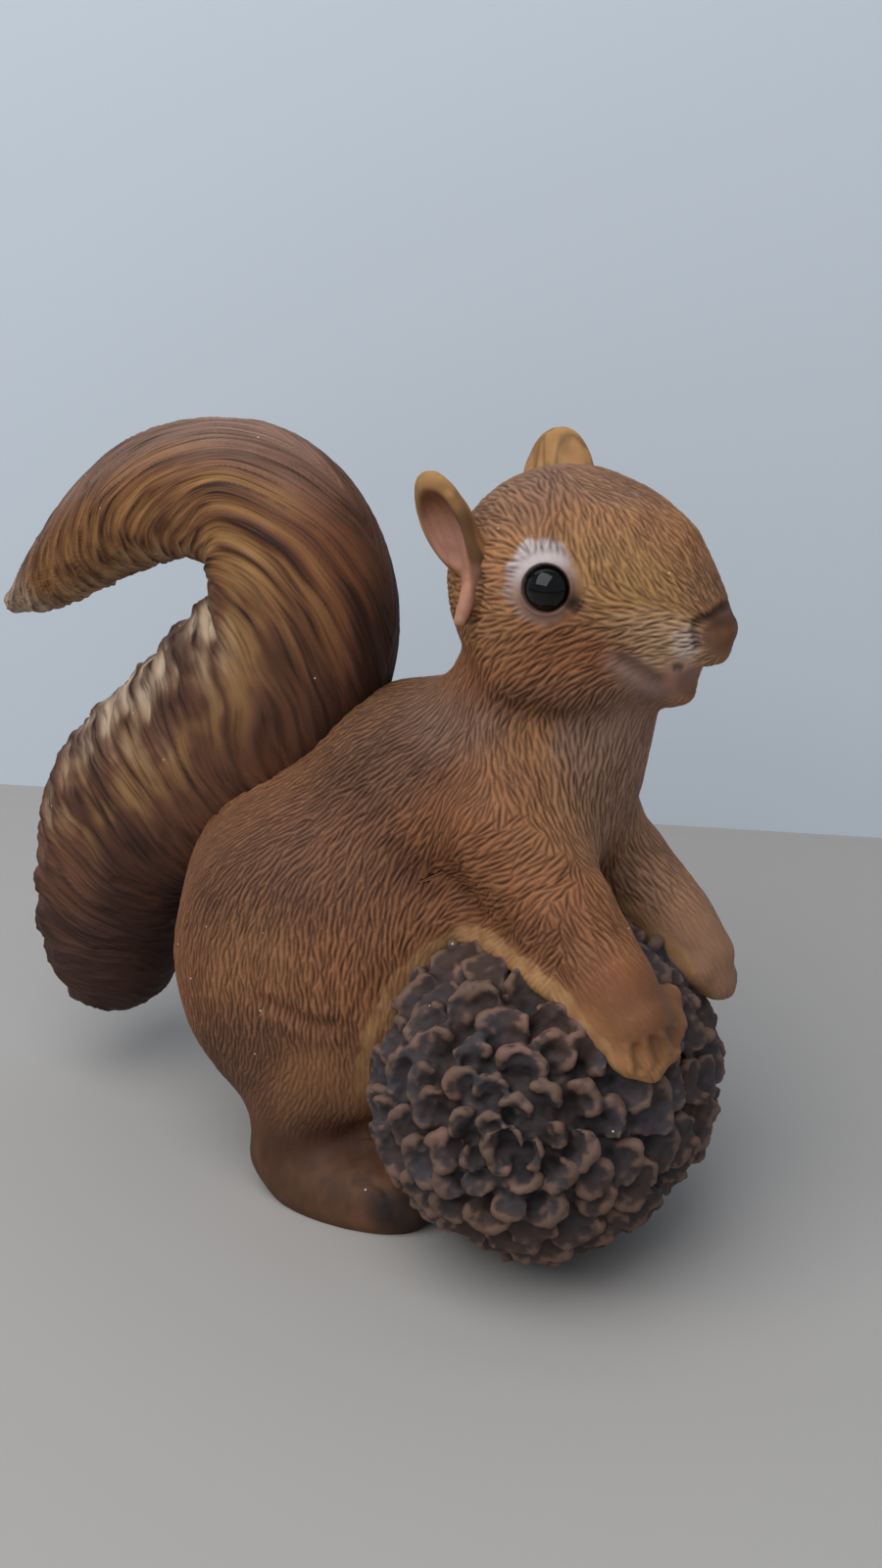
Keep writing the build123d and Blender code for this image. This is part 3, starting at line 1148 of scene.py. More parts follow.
@dataclass(frozen=True)
class Eye:
    """A gloss bead set in the clay, with its lids and the pale fur painted round it."""

    side: Side
    lid_radius: float = 4.15
    lid_width: float = 0.5
    lid_rise: float = 0.7
    socket_radius: float = 3.5
    socket_depth: float = 1.6
    skull_depth: float = 12.0
    beyond: float = 100.0
    tear_reach: float = 5.6
    tear_angle: float = 335.0
    tear_depth: float = 0.5
    pale_reaches: tuple[tuple[float, float], ...] = (
        (0, 4.9), (40, 5.5), (75, 7.8), (110, 8.7), (150, 8.1), (180, 7.3), (225, 7.0), (270, 6.3),
        (315, 5.0))

    def centre(self) -> Array:
        """The bead's centre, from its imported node."""
        low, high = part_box(self.side.word + "_eye")
        return (np.array(low) + np.array(high)) / 2 / MM

    def outward(self, head: Head) -> Array:
        """The way the eye looks, straight out of the skull."""
        skull = Swelling(head.skull, head.skull_half, turn=head.turn)
        return skull.measure(self.centre()[None])[1][0]

    def polar(self, points: Array, head: Head) -> Pair:
        """How far points lie from the eye's middle, and at what angle: 0 ahead, 90 up.

        Args:
            points: Places on the head.
            head: The head that carries the eye.

        Returns:
            Millimetres and degrees. Points beyond the other cheek count as far away.
        """
        look = self.outward(head)
        up = unit(np.array([0, 0, 1]) - look * look[2])
        ahead = np.cross(up, look) * -self.side.value
        step = points - self.centre()
        depth = step @ look
        reach = np.hypot(step @ ahead, step @ up) + np.where(depth < -self.skull_depth, self.beyond, 0)
        return reach, np.degrees(np.arctan2(step @ up, step @ ahead)) % 360

    def socket(self, points: Array, head: Head) -> Pair:
        """How far the clay moves out round the bead, and how smooth it is there.

        Args:
            points: Places on the head.
            head: The head that carries the eye.

        Returns:
            Millimetres outwards, and how deep the fur may be cut, from 0 to 1.
        """
        reach, angle = self.polar(points, head)
        lid = self.lid_rise * bell(reach, self.lid_radius, self.lid_width)
        around = -0.3 * bell(reach - self.lid_radius, 1.7, 0.7)
        tear = -self.tear_depth * bell(reach, self.tear_reach, 1.2) * bell(angle, self.tear_angle, 14)
        sink = -self.socket_depth * ease((self.socket_radius + 0.5 - reach) / 0.5)
        return lid + around + tear + sink, mix(0.1, 1.0, ease((reach - 5.4) / 1.6))

    def painted(self, paint: Array, points: Array, head: Head, clay: Clay) -> Array:
        """The pale patch, its mauve shade, the dark rim and the tear corner.

        Args:
            paint: The colours so far.
            points: Places on the skin.
            head: The head that carries the eye.
            clay: The noise that frays the patch's edge.

        Returns:
            The colours with the eye's own.
        """
        reach, angle = self.polar(points, head)
        turns, reaches = np.array(self.pale_reaches).T
        edge = np.interp(angle, turns, reaches, period=360)
        rays = clay.rough(np.stack([angle / 9, reach / 6, 0 * reach], axis=1), 1.0, 2)
        cover = ease((edge * (1 + 0.13 * rays) - reach) / 1.1 + 0.5)
        above = ease(1.35 - np.abs((angle - 112) / 75))
        pale = lay(Pot.MAUVE.linear(), Pot.WHITE, above)
        paint = mix(paint, pale, (cover * mix(0.5, 0.8, above))[:, None])
        rim = bell(reach - self.socket_radius, 0.35, 0.45)
        front = ease(1.5 - np.abs((angle + 40) % 360 - 10) / 40)
        corner = bell(reach, self.tear_reach - 0.1, 1.3) * bell(angle, self.tear_angle, 16)
        dark = np.clip(0.85 * rim + 0.8 * corner + 0.35 * front * (reach < 6.5), 0, 1)
        return lay(paint, Pot.DARK_UMBER, dark)


def open_edges(count: int, quads: Array) -> Array:
    """The directed edges, as rows of two points, that only one face of a patch uses.

    Args:
        count: How many points the patch has.
        quads: Its faces.

    Returns:
        The edges of its rims.
    """
    edges = np.concatenate([quads[:, [0, 1]], quads[:, [1, 2]], quads[:, [2, 3]], quads[:, [3, 0]]])
    forward = edges[:, 0].astype(np.int64) * count + edges[:, 1]
    backward = edges[:, 1].astype(np.int64) * count + edges[:, 0]
    return edges[~np.isin(forward, backward)]


def walk_rims(rim: Array) -> list[list[int]]:
    """Sorts rim edges into closed loops of points.

    Args:
        rim: Directed edges, two point numbers to a row.

    Returns:
        The points of each loop, in order.
    """
    after: dict[int, list[int]] = {}
    for start, end in rim.tolist():
        after.setdefault(start, []).append(end)
    loops = []
    while after:
        start = next(iter(after))
        loop, place = [], start
        while place in after:
            loop.append(place)
            ends = after[place]
            following = ends.pop()
            if not ends:
                del after[place]
            place = following
        loops.append(loop)
    return loops


def add_layer(mesh: bpy.types.Mesh, word: str, values: Array) -> None:
    """Gives each point of a mesh a colour, a vector or a number.

    Args:
        mesh: The mesh.
        word: The layer's name, which a material reads.
        values: Rows of four, rows of three, or numbers.
    """
    kinds = {1: ("FLOAT", "value"), 3: ("FLOAT_VECTOR", "vector"), 4: ("FLOAT_COLOR", "color")}
    kind, slot = kinds[1 if values.ndim == 1 else values.shape[1]]
    layer = mesh.attributes.new(word, kind, "POINT")
    layer.data.foreach_set(slot, values.astype(np.float32).ravel())


def mesh_piece(name: str, points: Array, normals: Array, quads: Array,
               layers: dict[str, Array], cap_depth: float = 1.2) -> Piece:
    """Makes a closed piece from part of a skin, with a cap sunk inside each open rim.

    Args:
        name: The piece's name.
        points: The skin's points in millimetres.
        normals: Their outward directions, which the piece keeps for its shading.
        quads: The faces that the piece takes.
        layers: What else each point holds: colours as four numbers, the rest as one.
        cap_depth: How far inside the rim its cap lies.

    Returns:
        The piece, at the origin and smooth.
    """
    used, quads = np.unique(quads, return_inverse=True)
    quads = quads.reshape(-1, 4)
    points, normals = points[used], normals[used]
    layers = {word: values[used] for word, values in layers.items()}
    extra_points, extra_from, strips, fans = [], [], [], []
    count = len(points)
    for loop in walk_rims(open_edges(count, quads)):
        ring = np.array(loop)
        sunk = above_floor(points[ring] - normals[ring] * cap_depth)
        inner = count + np.arange(len(ring))
        middle = count + len(ring)
        extra_points.append(np.vstack([sunk, sunk.mean(axis=0)]))
        extra_from.append(np.append(ring, ring[0]))
        strips.append(np.stack([np.roll(ring, -1), ring, inner, np.roll(inner, -1)], axis=1))
        fans.append(np.stack([np.roll(inner, -1), inner, np.full(len(ring), middle)], axis=1))
        count = middle + 1
    if extra_points:
        source = np.concatenate(extra_from)
        points = np.vstack([points, *extra_points])
        normals = np.vstack([normals, normals[source]])
        layers = {word: np.concatenate([values, values[source]]) for word, values in layers.items()}
        quads = np.vstack([quads, *strips])
        fans = np.vstack(fans)
    else:
        fans = np.zeros((0, 3), int)
    mesh = bpy.data.meshes.new(name)
    mesh.vertices.add(len(points))
    mesh.vertices.foreach_set("co", (points * MM).astype(np.float32).ravel())
    mesh.loops.add(quads.size + fans.size)
    mesh.loops.foreach_set("vertex_index", np.concatenate([quads.ravel(), fans.ravel()]).astype(np.int32))
    mesh.polygons.add(len(quads) + len(fans))
    starts = np.concatenate([np.arange(len(quads)) * 4, quads.size + np.arange(len(fans)) * 3])
    mesh.polygons.foreach_set("loop_start", starts.astype(np.int32))
    mesh.update(calc_edges=True)
    mesh.validate()
    mesh.polygons.foreach_set("use_smooth", np.ones(len(mesh.polygons), bool))
    for word, values in layers.items():
        add_layer(mesh, word, values)
    mesh.normals_split_custom_set_from_vertices(normals.tolist())
    return add_object(name, mesh)


def dress(piece: Piece, nodes: tuple[str, ...], finish: Finish) -> None:
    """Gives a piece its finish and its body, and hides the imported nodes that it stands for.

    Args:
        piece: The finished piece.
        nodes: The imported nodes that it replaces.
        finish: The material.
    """
    piece.data.materials.clear()
    piece.data.materials.append(finish)
    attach(piece, "root")
    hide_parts(*nodes)


@dataclass
class FurSkin:
    """The whole animal but its tail, eyes and ears: sculpted, scored and painted as one."""

    torso: Torso = field(default_factory=Torso)
    head: Head = field(default_factory=Head)
    forelegs: tuple[Foreleg, ...] = (
        Foreleg(Side.RIGHT, (24.9, -17, 79.9), (47.8, -25.6, 60.6), (54.2, -28.4, 54.4),
                ((57.0, -18.4, 54.8), (59.4, -21.8, 51.8), (60.0, -26.4, 48.9),
                 (58.8, -31.2, 47.4), (55.8, -33.8, 49.0)),
                ((14.9, -13.6, 57.3), (24.6, -23.4, 60.9), (36.3, -29.6, 59.6), (46.2, -32.2, 55.2),
                 (52.5, -32.7, 50.4)), (Swelling((19.0, -16.5, 63.5), (9.5, 5.5, 7.0), tilt=10, blend=2),)),
        Foreleg(Side.LEFT, (21.8, 13.6, 74.6), (47.6, 6.2, 59.0), (55.0, 3.6, 52.4),
                ((57.4, -2.6, 51.8), (59.6, 0.4, 48.4), (60.0, 4.0, 46.8), (59.2, 7.6, 47.4))))
    hind_legs: tuple[HindLeg, ...] = (HindLeg(Side.RIGHT), HindLeg(Side.LEFT))
    eyes: tuple[Eye, ...] = (Eye(Side.RIGHT), Eye(Side.LEFT))
    voxel: float = 1.1
    hollow_reach: float = 5.0
    cone_half: Point = (32.5, 37.5, 32.5)
    cuts: dict[str, tuple[float, ...]] = field(
        default_factory=lambda: {
            "torso": (-np.inf, 22.0, 44.0, 72.0, 87.0, np.inf), "head": (-np.inf, 112.0, np.inf),
            "right_hind_leg": (-np.inf, 40.0, np.inf), "left_hind_leg": (-np.inf, 40.0, np.inf)})
    tool: FurTool = FurTool()
    lie: FurLie = FurLie(FUR_MARKS)
    clay: Clay = Clay(41)
    lump_size: float = 7.0
    lump_height: float = 0.22
    grain_size: float = 1.3
    grain_height: float = 0.05
    ground_fade: float = 1.2
    muzzle_px: float = 560.0
    muzzle_run_px: float = 130.0
    muzzle_fur: float = 0.72
    bare_paw: tuple[float, float] = (7.0, 9.0)
    bare_foot: tuple[float, float] = (9.0, 14.0)
    floor_shade_height: float = 3.5
    ridge_height: float = 0.05
    brush_share: float = 0.5
    flash_reach: float = 2.2
    finish: Finish | None = None

    def groups(self) -> tuple[FleshGroup, ...]:
        """The pieces of the animal, torso first."""
        return (self.torso.group(), self.head.group(),
                *(leg.group() for leg in self.forelegs), *(leg.group() for leg in self.hind_legs))

    def measure(self, points: Array) -> Pair:
        """How far points lie outside the whole animal, and which way is out.

        Args:
            points: Places in millimetres, one to a row.

        Returns:
            The distances, less than zero inside, and the outward directions.
        """
        groups = self.groups()
        total = groups[0].measure(points)
        for group in groups[1:]:
            total = run_together(total, group.measure(points), group.join)
        return total

    def sculpt(self) -> Pair:
        """Makes the animal's smooth form.

        Returns:
            Its points in millimetres, and its faces.
        """
        lump = fuse_blocks(self.groups(), self.voxel)
        settle(lump, self.measure, rounds=7)
        apply_modifier(lump, "SUBSURF", levels=1, render_levels=1)
        settle(lump, self.measure, rounds=2)
        apply_modifier(lump, "SUBSURF", levels=1, render_levels=1)
        points, quads = take_mesh(lump)
        return above_floor(points), quads

    def seen(self, points: Array, owners: Array) -> Array:
        """Where points show in the photograph, the hidden side folded onto the one it shows.

        Args:
            points: Places on the skin.
            owners: Which group each belongs to.

        Returns:
            Photograph pixels. The left foreleg lies its own way and keeps its own pixels.
        """
        names = [group.node for group in self.groups()]
        folded = mirrored_to_right(points)
        on_head = owners == names.index("head")
        folded[on_head] = self.head.folded(points[on_head])
        own = owners == names.index("left_foreleg")
        folded[own] = points[own]
        return PHOTO.pixels(folded)

    def owners(self, points: Array) -> Array:
        """Which group each point lies nearest to."""
        return np.argmin(np.stack([group.measure(points)[0] for group in self.groups()]), axis=0)

    def press(self, points: Array, sight: Sight, calm: Array) -> tuple[Array, ...]:
        """Presses the furrows and the eyes' lids and sockets into the clay.

        Args:
            points: The smooth form's points.
            sight: Where they show, and what they belong to.
            calm: How deep the fur may be cut at each.

        Returns:
            How far each point moves outwards, how much wash the furrows hold, and the
            depth of fur that is left beside the eyes.
        """
        rise, pressed = np.zeros(len(points)), np.zeros(len(points))
        for furrow in FURROWS:
            move, cover = furrow.press(sight)
            rise += move
            pressed = np.maximum(pressed, cover)
        rise += self.clay.rough(points, self.lump_size) * self.lump_height
        for eye in self.eyes:
            move, quiet = eye.socket(points, self.head)
            rise += move
            calm = np.minimum(calm, quiet)
        return rise, pressed, calm

    def dress_up(self) -> list[Piece]:
        """Sculpts, scores and paints the skin, and cuts it into its pieces.

        Returns:
            The skin's pieces.
        """
        points, quads = self.sculpt()
        smooth = point_normals(points, quads)
        owners = self.owners(points)
        pixels = self.seen(points, owners)
        facing = -smooth @ PHOTO.axes()[2]
        facing = np.where(points[:, 1] > 0, np.abs(facing), facing)
        sight = Sight(pixels, facing, owners, tuple(group.node for group in self.groups()))
        hollow = 1 - self.measure(points + smooth * self.hollow_reach)[0] / self.hollow_reach
        cone = Swelling(CONE_CENTRE, self.cone_half, turn=CONE_TURN).measure(points)[0]

        calm = self.calm(sight, points) * mix(0.3, 1.0, ease((cone - 0.8) / 3))
        rise, pressed, calm = self.press(points, sight, calm)
        points = above_floor(points + smooth * rise[:, None])
        formed = point_normals(points, quads)

        muzzle = sight.belongs(("head",)) * ease((pixels[:, 0] - self.muzzle_px) / self.muzzle_run_px)
        strokes = self.tool.strokes(points, smooth, self.lie, mix(1.0, self.muzzle_fur, muzzle))
        scored = self.tool.score(points, strokes) * calm
        grounded = ease(points[:, 2] / self.ground_fade)
        points = points - formed * (self.tool.depth * scored * grounded)[:, None]
        grain = self.clay.rough(points, self.grain_size, 2) * self.grain_height * grounded
        points = above_floor(points + formed * grain[:, None])
        normals = point_normals(points, quads)
        edges = np.concatenate([quads[:, [0, 1]], quads[:, [1, 2]]])
        even = mean_of_neighbours(mean_of_neighbours(points, edges), edges)
        ridge = ease(np.sum((points - even) * normals, axis=1) / self.ridge_height)

        paint = self.paint(points, sight, hollow, cone)
        brushed = ridge * ease(calm * 1.5) * self.brush_share
        paint = mix(paint, mix(paint * 1.35, Pot.BRUSHED.linear(), 0.4), brushed[:, None])
        # Dark wash in the scored lines and furrows, plus painted shade in the form's hollows
        wash = np.clip(scored + 0.9 * pressed + 0.5 * np.clip(hollow, 0, 1), 0, 1)
        return self.cut_up(points, normals, quads, {"paint": paint, "wash": wash})

    def cut_up(self, points: Array, normals: Array, quads: Array,
               layers: dict[str, Array]) -> list[Piece]:
        """Cuts the finished skin along its groups' borders, and the large ones by height.

        Args:
            points: The skin's points.
            normals: Their outward directions.
            quads: The skin's faces.
            layers: The paint, and the wash with the painted shade of the hollows, at each point.

        Returns:
            The pieces, each with its finish, and their imported nodes hidden.
        """
        middles = points[quads].mean(axis=1)
        parts = self.owners(middles)
        pieces = []
        for place, group in enumerate(self.groups()):
            bounds = self.cuts.get(group.node, (-np.inf, np.inf))
            for level, (low, high) in enumerate(zip(bounds, bounds[1:])):
                part = quads[(parts == place) & (middles[:, 2] >= low) & (middles[:, 2] < high)]
                label = group.node + "_fur" + ("" if len(bounds) == 2 else "_%d" % (level + 1))
                piece = mesh_piece(label, points, normals, part, layers)
                dress(piece, (group.node,), self.finish)
                pieces.append(piece)
        return pieces

    def calm(self, sight: Sight, points: Array) -> Array:
        """How deep the tool cuts at each point, from 0 for smooth clay to 1 for full fur.

        Args:
            sight: Where the points show, and what they belong to.
            points: Places in millimetres, one to a row.

        Returns:
            The depth at each point, as a share.
        """
        depth = np.ones(len(points))
        for patch in QUIET:
            depth *= 1 - patch.cover(sight.pixels) * (1 - sight.belongs(("left_foreleg",)))
        for leg in self.forelegs:
            reach = np.linalg.norm(points - np.array(leg.knuckles), axis=1)
            depth *= mix(0.25, 1.0, ease((reach - self.bare_paw[0]) / self.bare_paw[1]))
        sole = sight.belongs(("right_hind_leg", "left_hind_leg"))
        furred = ease((points[:, 2] - self.bare_foot[0]) / self.bare_foot[1])
        return depth * mix(1.0, furred, sole)

    def paint(self, points: Array, sight: Sight, hollow: Array, cone: Array) -> Array:
        """The painter's colours over the whole animal, with painted shade in the form's hollows and towards
        the floor.

        Args:
            points: Places on the skin.
            sight: Where they show, and what they belong to.
            hollow: How hollow the form is at each, which the paint darkens as painted shade.
            cone: How far each lies from the pine cone.

        Returns:
            One linear colour for each point.
        """
        patchy = self.clay.rough(points, 6.0) * 0.5 + 0.5
        streaky = self.clay.rough(points, np.array([2.0, 2.0, 5.0]), 2) * 0.5 + 0.5
        paint = lay(Pot.OCHRE.linear(), Pot.TAN, patchy)
        arm = sight.belongs(("left_foreleg",))
        for pot, patch in DABS:
            cover = patch.cover(sight.pixels) * mix(0.7, 1.1, streaky) * (1 - arm)
            paint = lay(paint, pot, np.clip(cover, 0, 1))
        reach = np.linalg.norm(points - np.array(self.forelegs[1].shoulder), axis=1)
        shade = 0.5 * arm * ease((reach - 9) / 18)
        paint = lay(paint, Pot.TAUPE, shade)
        for eye in self.eyes:
            paint = eye.painted(paint, points, self.head, self.clay)
        # Painted shade: darker in the form's hollows, such as under the chin and in the armpits
        paint = lay(paint, Pot.DARK_UMBER, 0.55 * np.clip(hollow - 0.15, 0, 1))
        ragged = cone + self.clay.rough(points, 3.0, 2) * 1.1
        rim = ease((self.flash_reach - ragged) / 0.6) * ease((points[:, 2] - 24) / 12)
        broken = mix(0.35, 0.85, ease(self.clay.rough(points, 2.4, 2) + 0.5))
        paint = lay(paint, Pot.FLASH, broken * rim)
        # Painted shade: darker towards the floor, where the skin meets it
        low = ease((self.floor_shade_height - points[:, 2]) / self.floor_shade_height)
        return lay(paint, Pot.DARK_UMBER, 0.6 * low)


# Ears and eye beads


@dataclass
class Ear:
    """A leaf with a bowl that faces outward, a fold along its front and a lobe below."""

    side: Side
    head: Head = field(default_factory=Head)
    leaf: Point = (15.4, 18.4, 133.6)
    leaf_half: Point = (5.9, 2.5, 10.6)
    lean: float = 20.0
    slope: float = -12.0
    bowl_half: Point = (4.7, 3.6, 8.8)
    bowl_out: float = 3.5
    fold_radius: float = 1.5
    root_half: Point = (4.2, 3.4, 5.0)
    lobe_end: Point = (18.9, 20.6, 118.0)
    lobe_radius: float = 1.1
    voxel: float = 0.55
    clay: Clay = Clay(3)

    def placed(self, place: Point) -> Point:
        """A place by the left ear, moved to this ear's side and turned with the head."""
        return self.head.turned((place[0], place[1] * self.side.value, place[2]))

    def axes(self) -> Array:
        """The leaf's own axes, as columns: forward, to the left, up.

        Returns:
            A matrix of three columns.
        """
        turn = Matrix.Rotation(np.radians(self.head.turn), 3, "Z")
        lean = Matrix.Rotation(np.radians(-self.lean) * self.side.value, 3, "X")
        slope = Matrix.Rotation(np.radians(self.slope), 3, "Y")
        return np.array(turn @ lean @ slope)

    def spot(self, forward: float, out: float, up: float) -> Point:
        """A place in the leaf's own frame."""
        step = self.axes() @ np.array([forward, out * self.side.value, up])
        return tuple(np.array(self.placed(self.leaf)) + step)

    def form(self, centre: Point, half: Point, blend: float) -> Swelling:
        """A swelling that leans with the leaf."""
        roll, tilt, turn = (np.degrees(part) for part in Matrix(self.axes()).to_euler())
        return Swelling(centre, half, tilt=tilt, turn=turn, roll=roll, blend=blend)

    def group(self) -> FleshGroup:
        """The ear's forms and its bowl.

        Returns:
            The group for this ear's node.
        """
        length, _, height = self.leaf_half
        fold_top = self.spot(0.62 * length, 0.6, 0.55 * height)
        fold_end = self.spot(0.78 * length, 0.9, -0.62 * height)
        lobe_start = self.spot(0.62 * length, 0.2, -0.72 * height)
        return FleshGroup(self.side.word + "_ear", (
            self.form(self.placed(self.leaf), self.leaf_half, 1),
            self.form(self.spot(0.3 * length, -1.6, -0.72 * height), self.root_half, 2.5),
            Limb(fold_top, fold_end, self.fold_radius * 0.8, self.fold_radius, blend=1.0),
            Limb(lobe_start, self.placed(self.lobe_end), self.lobe_radius * 1.9, self.lobe_radius, blend=3)),
            join=0, cuts=(self.form(self.spot(-0.4, self.bowl_out, 0.6), self.bowl_half, 0.9),))

    def build(self, finish: Finish) -> Piece:
        """Sculpts and paints the ear, with painted shade in its bowl and along its front fold.

        Args:
            finish: The material.

        Returns:
            The ear.
        """
        group = self.group()
        lump = fuse_blocks((group,), self.voxel)
        settle(lump, group.measure, rounds=8)
        apply_modifier(lump, "SUBSURF", levels=1, render_levels=1)
        points, quads = take_mesh(lump)
        normals = point_normals(points, quads)
        local = (points - np.array(self.placed(self.leaf))) @ self.axes()
        outward = normals @ self.axes()[:, 1] * self.side.value
        ribs = np.abs(self.clay.lumps(local / np.array([1.3, 1.6, 11.0])))
        creases = self.clay.rough(local, 3.0, 2)
        back = ease(0.3 - outward)
        points = points + normals * (0.30 * (ribs - 0.5) * mix(0.25, 1.0, back) + 0.14 * creases)[:, None]
        normals = point_normals(points, quads)
        height = local[:, 2] / self.leaf_half[2]
        inside = ease((outward + 0.3) / 0.4) * ease((2.3 - local[:, 1] * self.side.value) / 0.8)
        rim = np.hypot(local[:, 0] / self.bowl_half[0], local[:, 2] / self.bowl_half[2])
        inside *= ease((1.0 - rim) / 0.2)
        paint = lay(Pot.TAN.linear(), Pot.GOLD, creases * 0.5 + 0.5)
        red = lay(Pot.CHESTNUT.linear(), Pot.PINK, ease(0.7 - height))
        paint = mix(paint, red, (0.9 * inside)[:, None])
        low = ease((-0.45 - height) / 0.35) * ease((local[:, 0] + 1.5) / 2.5)
        paint = lay(paint, Pot.PINK, 0.75 * low)
        # Painted shade: the bowl darker towards its top, and a painted shadow along the front fold low down
        shade = inside * ease((height - 0.1) / 0.6) * 0.45
        fold_shadow = ease((local[:, 0] - 2.6) / 1.0) * ease((outward + 0.1) / 0.5)
        shade += 0.7 * fold_shadow * ease((0.5 - height) / 0.3)
        wash = np.clip(0.7 - 1.9 * ribs, 0, 1) * mix(0.35, 0.9, back) + shade
        layers = {"paint": paint, "wash": np.clip(wash, 0, 1)}
        name = self.side.word + "_ear"
        piece = mesh_piece(name + "_leaf", points, normals, quads, layers)
        dress(piece, (name,), finish)
        return piece


@dataclass
class Bead:
    """An eye: a black glass dome on a shank that sits in the socket."""

    eye: Eye
    head: Head = field(default_factory=Head)
    radius: float = 3.95
    depth_share: float = 0.97
    shank_radius: float = 1.6
    shank_length: float = 5.0

    def build(self, finish: Finish) -> Piece:
        """Models the dome and its shank as one piece.

        Args:
            finish: The material.

        Returns:
            The bead.
        """
        look = self.eye.outward(self.head)
        turn = Vector(look).to_track_quat("Z", "Y").to_euler()
        centre = self.eye.centre()
        deselect_all()
        bpy.ops.mesh.primitive_uv_sphere_add(
            segments=64, ring_count=40, radius=self.radius * MM, location=centre * MM, rotation=turn)
        dome = bpy.context.object
        dome.scale = (1, 1, self.depth_share)
        bpy.ops.object.transform_apply()
        deselect_all()
        foot = centre - look * (self.radius * 0.8 + self.shank_length / 2)
        bpy.ops.mesh.primitive_cylinder_add(
            vertices=32, radius=self.shank_radius * MM, depth=self.shank_length * MM,
            location=foot * MM, rotation=turn)
        bpy.ops.object.transform_apply()
        shank = bpy.context.object
        dome = joined([dome, shank])
        dome.name = dome.data.name = self.eye.side.word + "_eye_bead"
        dome.data.shade_smooth()
        dress(dome, (self.eye.side.word + "_eye",), finish)
        return dome


# The tail: a plume of combed locks, swept up the back and over


@dataclass(frozen=True)
class Coat:
    """One colour on the plume, from thin in the hollows to thick on the crests.

    A span gives the share where the coat starts to show and the one where it shows in full.
    Along the plume 0 is the root and 1 the tip. Round it 0 is the outer ridge and 1 the inner.
    """

    pot: Pot
    thin: float
    thick: float
    along: tuple[tuple[float, float], ...]
    inward: tuple[float, float] | None = None
    on_knobs: bool = True

    def cover(self, share: Array, inward: Array, crest: Array) -> Array:
        """How much of the coat each point takes, from 0 to 1.

        Args:
            share: How far along the plume each point is.
            inward: How far round it is.
            crest: How high it stands, from 0 in a hollow to 1 on a crest.

        Returns:
            The cover at each point.
        """
        cover = mix(self.thin, self.thick, crest)
        for start, full in self.along:
            cover = cover * ease((share - start) / (full - start))
        if self.inward:
            start, full = self.inward
            cover = cover * ease((inward - start) / (full - start))
        return cover


PLUME_COATS = (
    # Darker lower half, over chestnut
    Coat(Pot.UMBER, 1.0, 1.0, ((0.66, 0.41),)),
    # Gold side and grey outer ridge of the curl
    Coat(Pot.GOLD, 0.1, 0.55, ((0.42, 0.58),), (0.18, 0.43), on_knobs=False),
    Coat(Pot.TAUPE, 0.9, 0.9, ((0.56, 0.70),), (0.42, 0.17)),
    # Dark outer edge of the lower half, and its dark root
    Coat(Pot.DARK_UMBER, 0.95, 0.95, ((0.62, 0.50),), (0.24, 0.10)),
    Coat(Pot.DARK_UMBER, 0.8, 0.8, ((0.30, 0.12),), (0.62, 0.32)),
    # Gold and cream on the knobs of the inner edge
    Coat(Pot.GOLD, 0.0, 0.4, ((0.64, 0.54), (0.08, 0.22)), (0.34, 0.59)),
    Coat(Pot.CREAM, 0.2, 0.65, ((0.58, 0.48), (0.13, 0.23)), (0.57, 0.82)),
    # Sandy underside of the curl, its pale tip, and the foot of the plume
    Coat(Pot.SAND, 0.3, 0.75, ((0.58, 0.68),), (0.62, 0.92)),
    Coat(Pot.CREAM, 0.5, 0.5, ((0.93, 0.98),)),
    Coat(Pot.DARK_UMBER, 0.85, 0.85, ((0.11, 0.01),)),
)


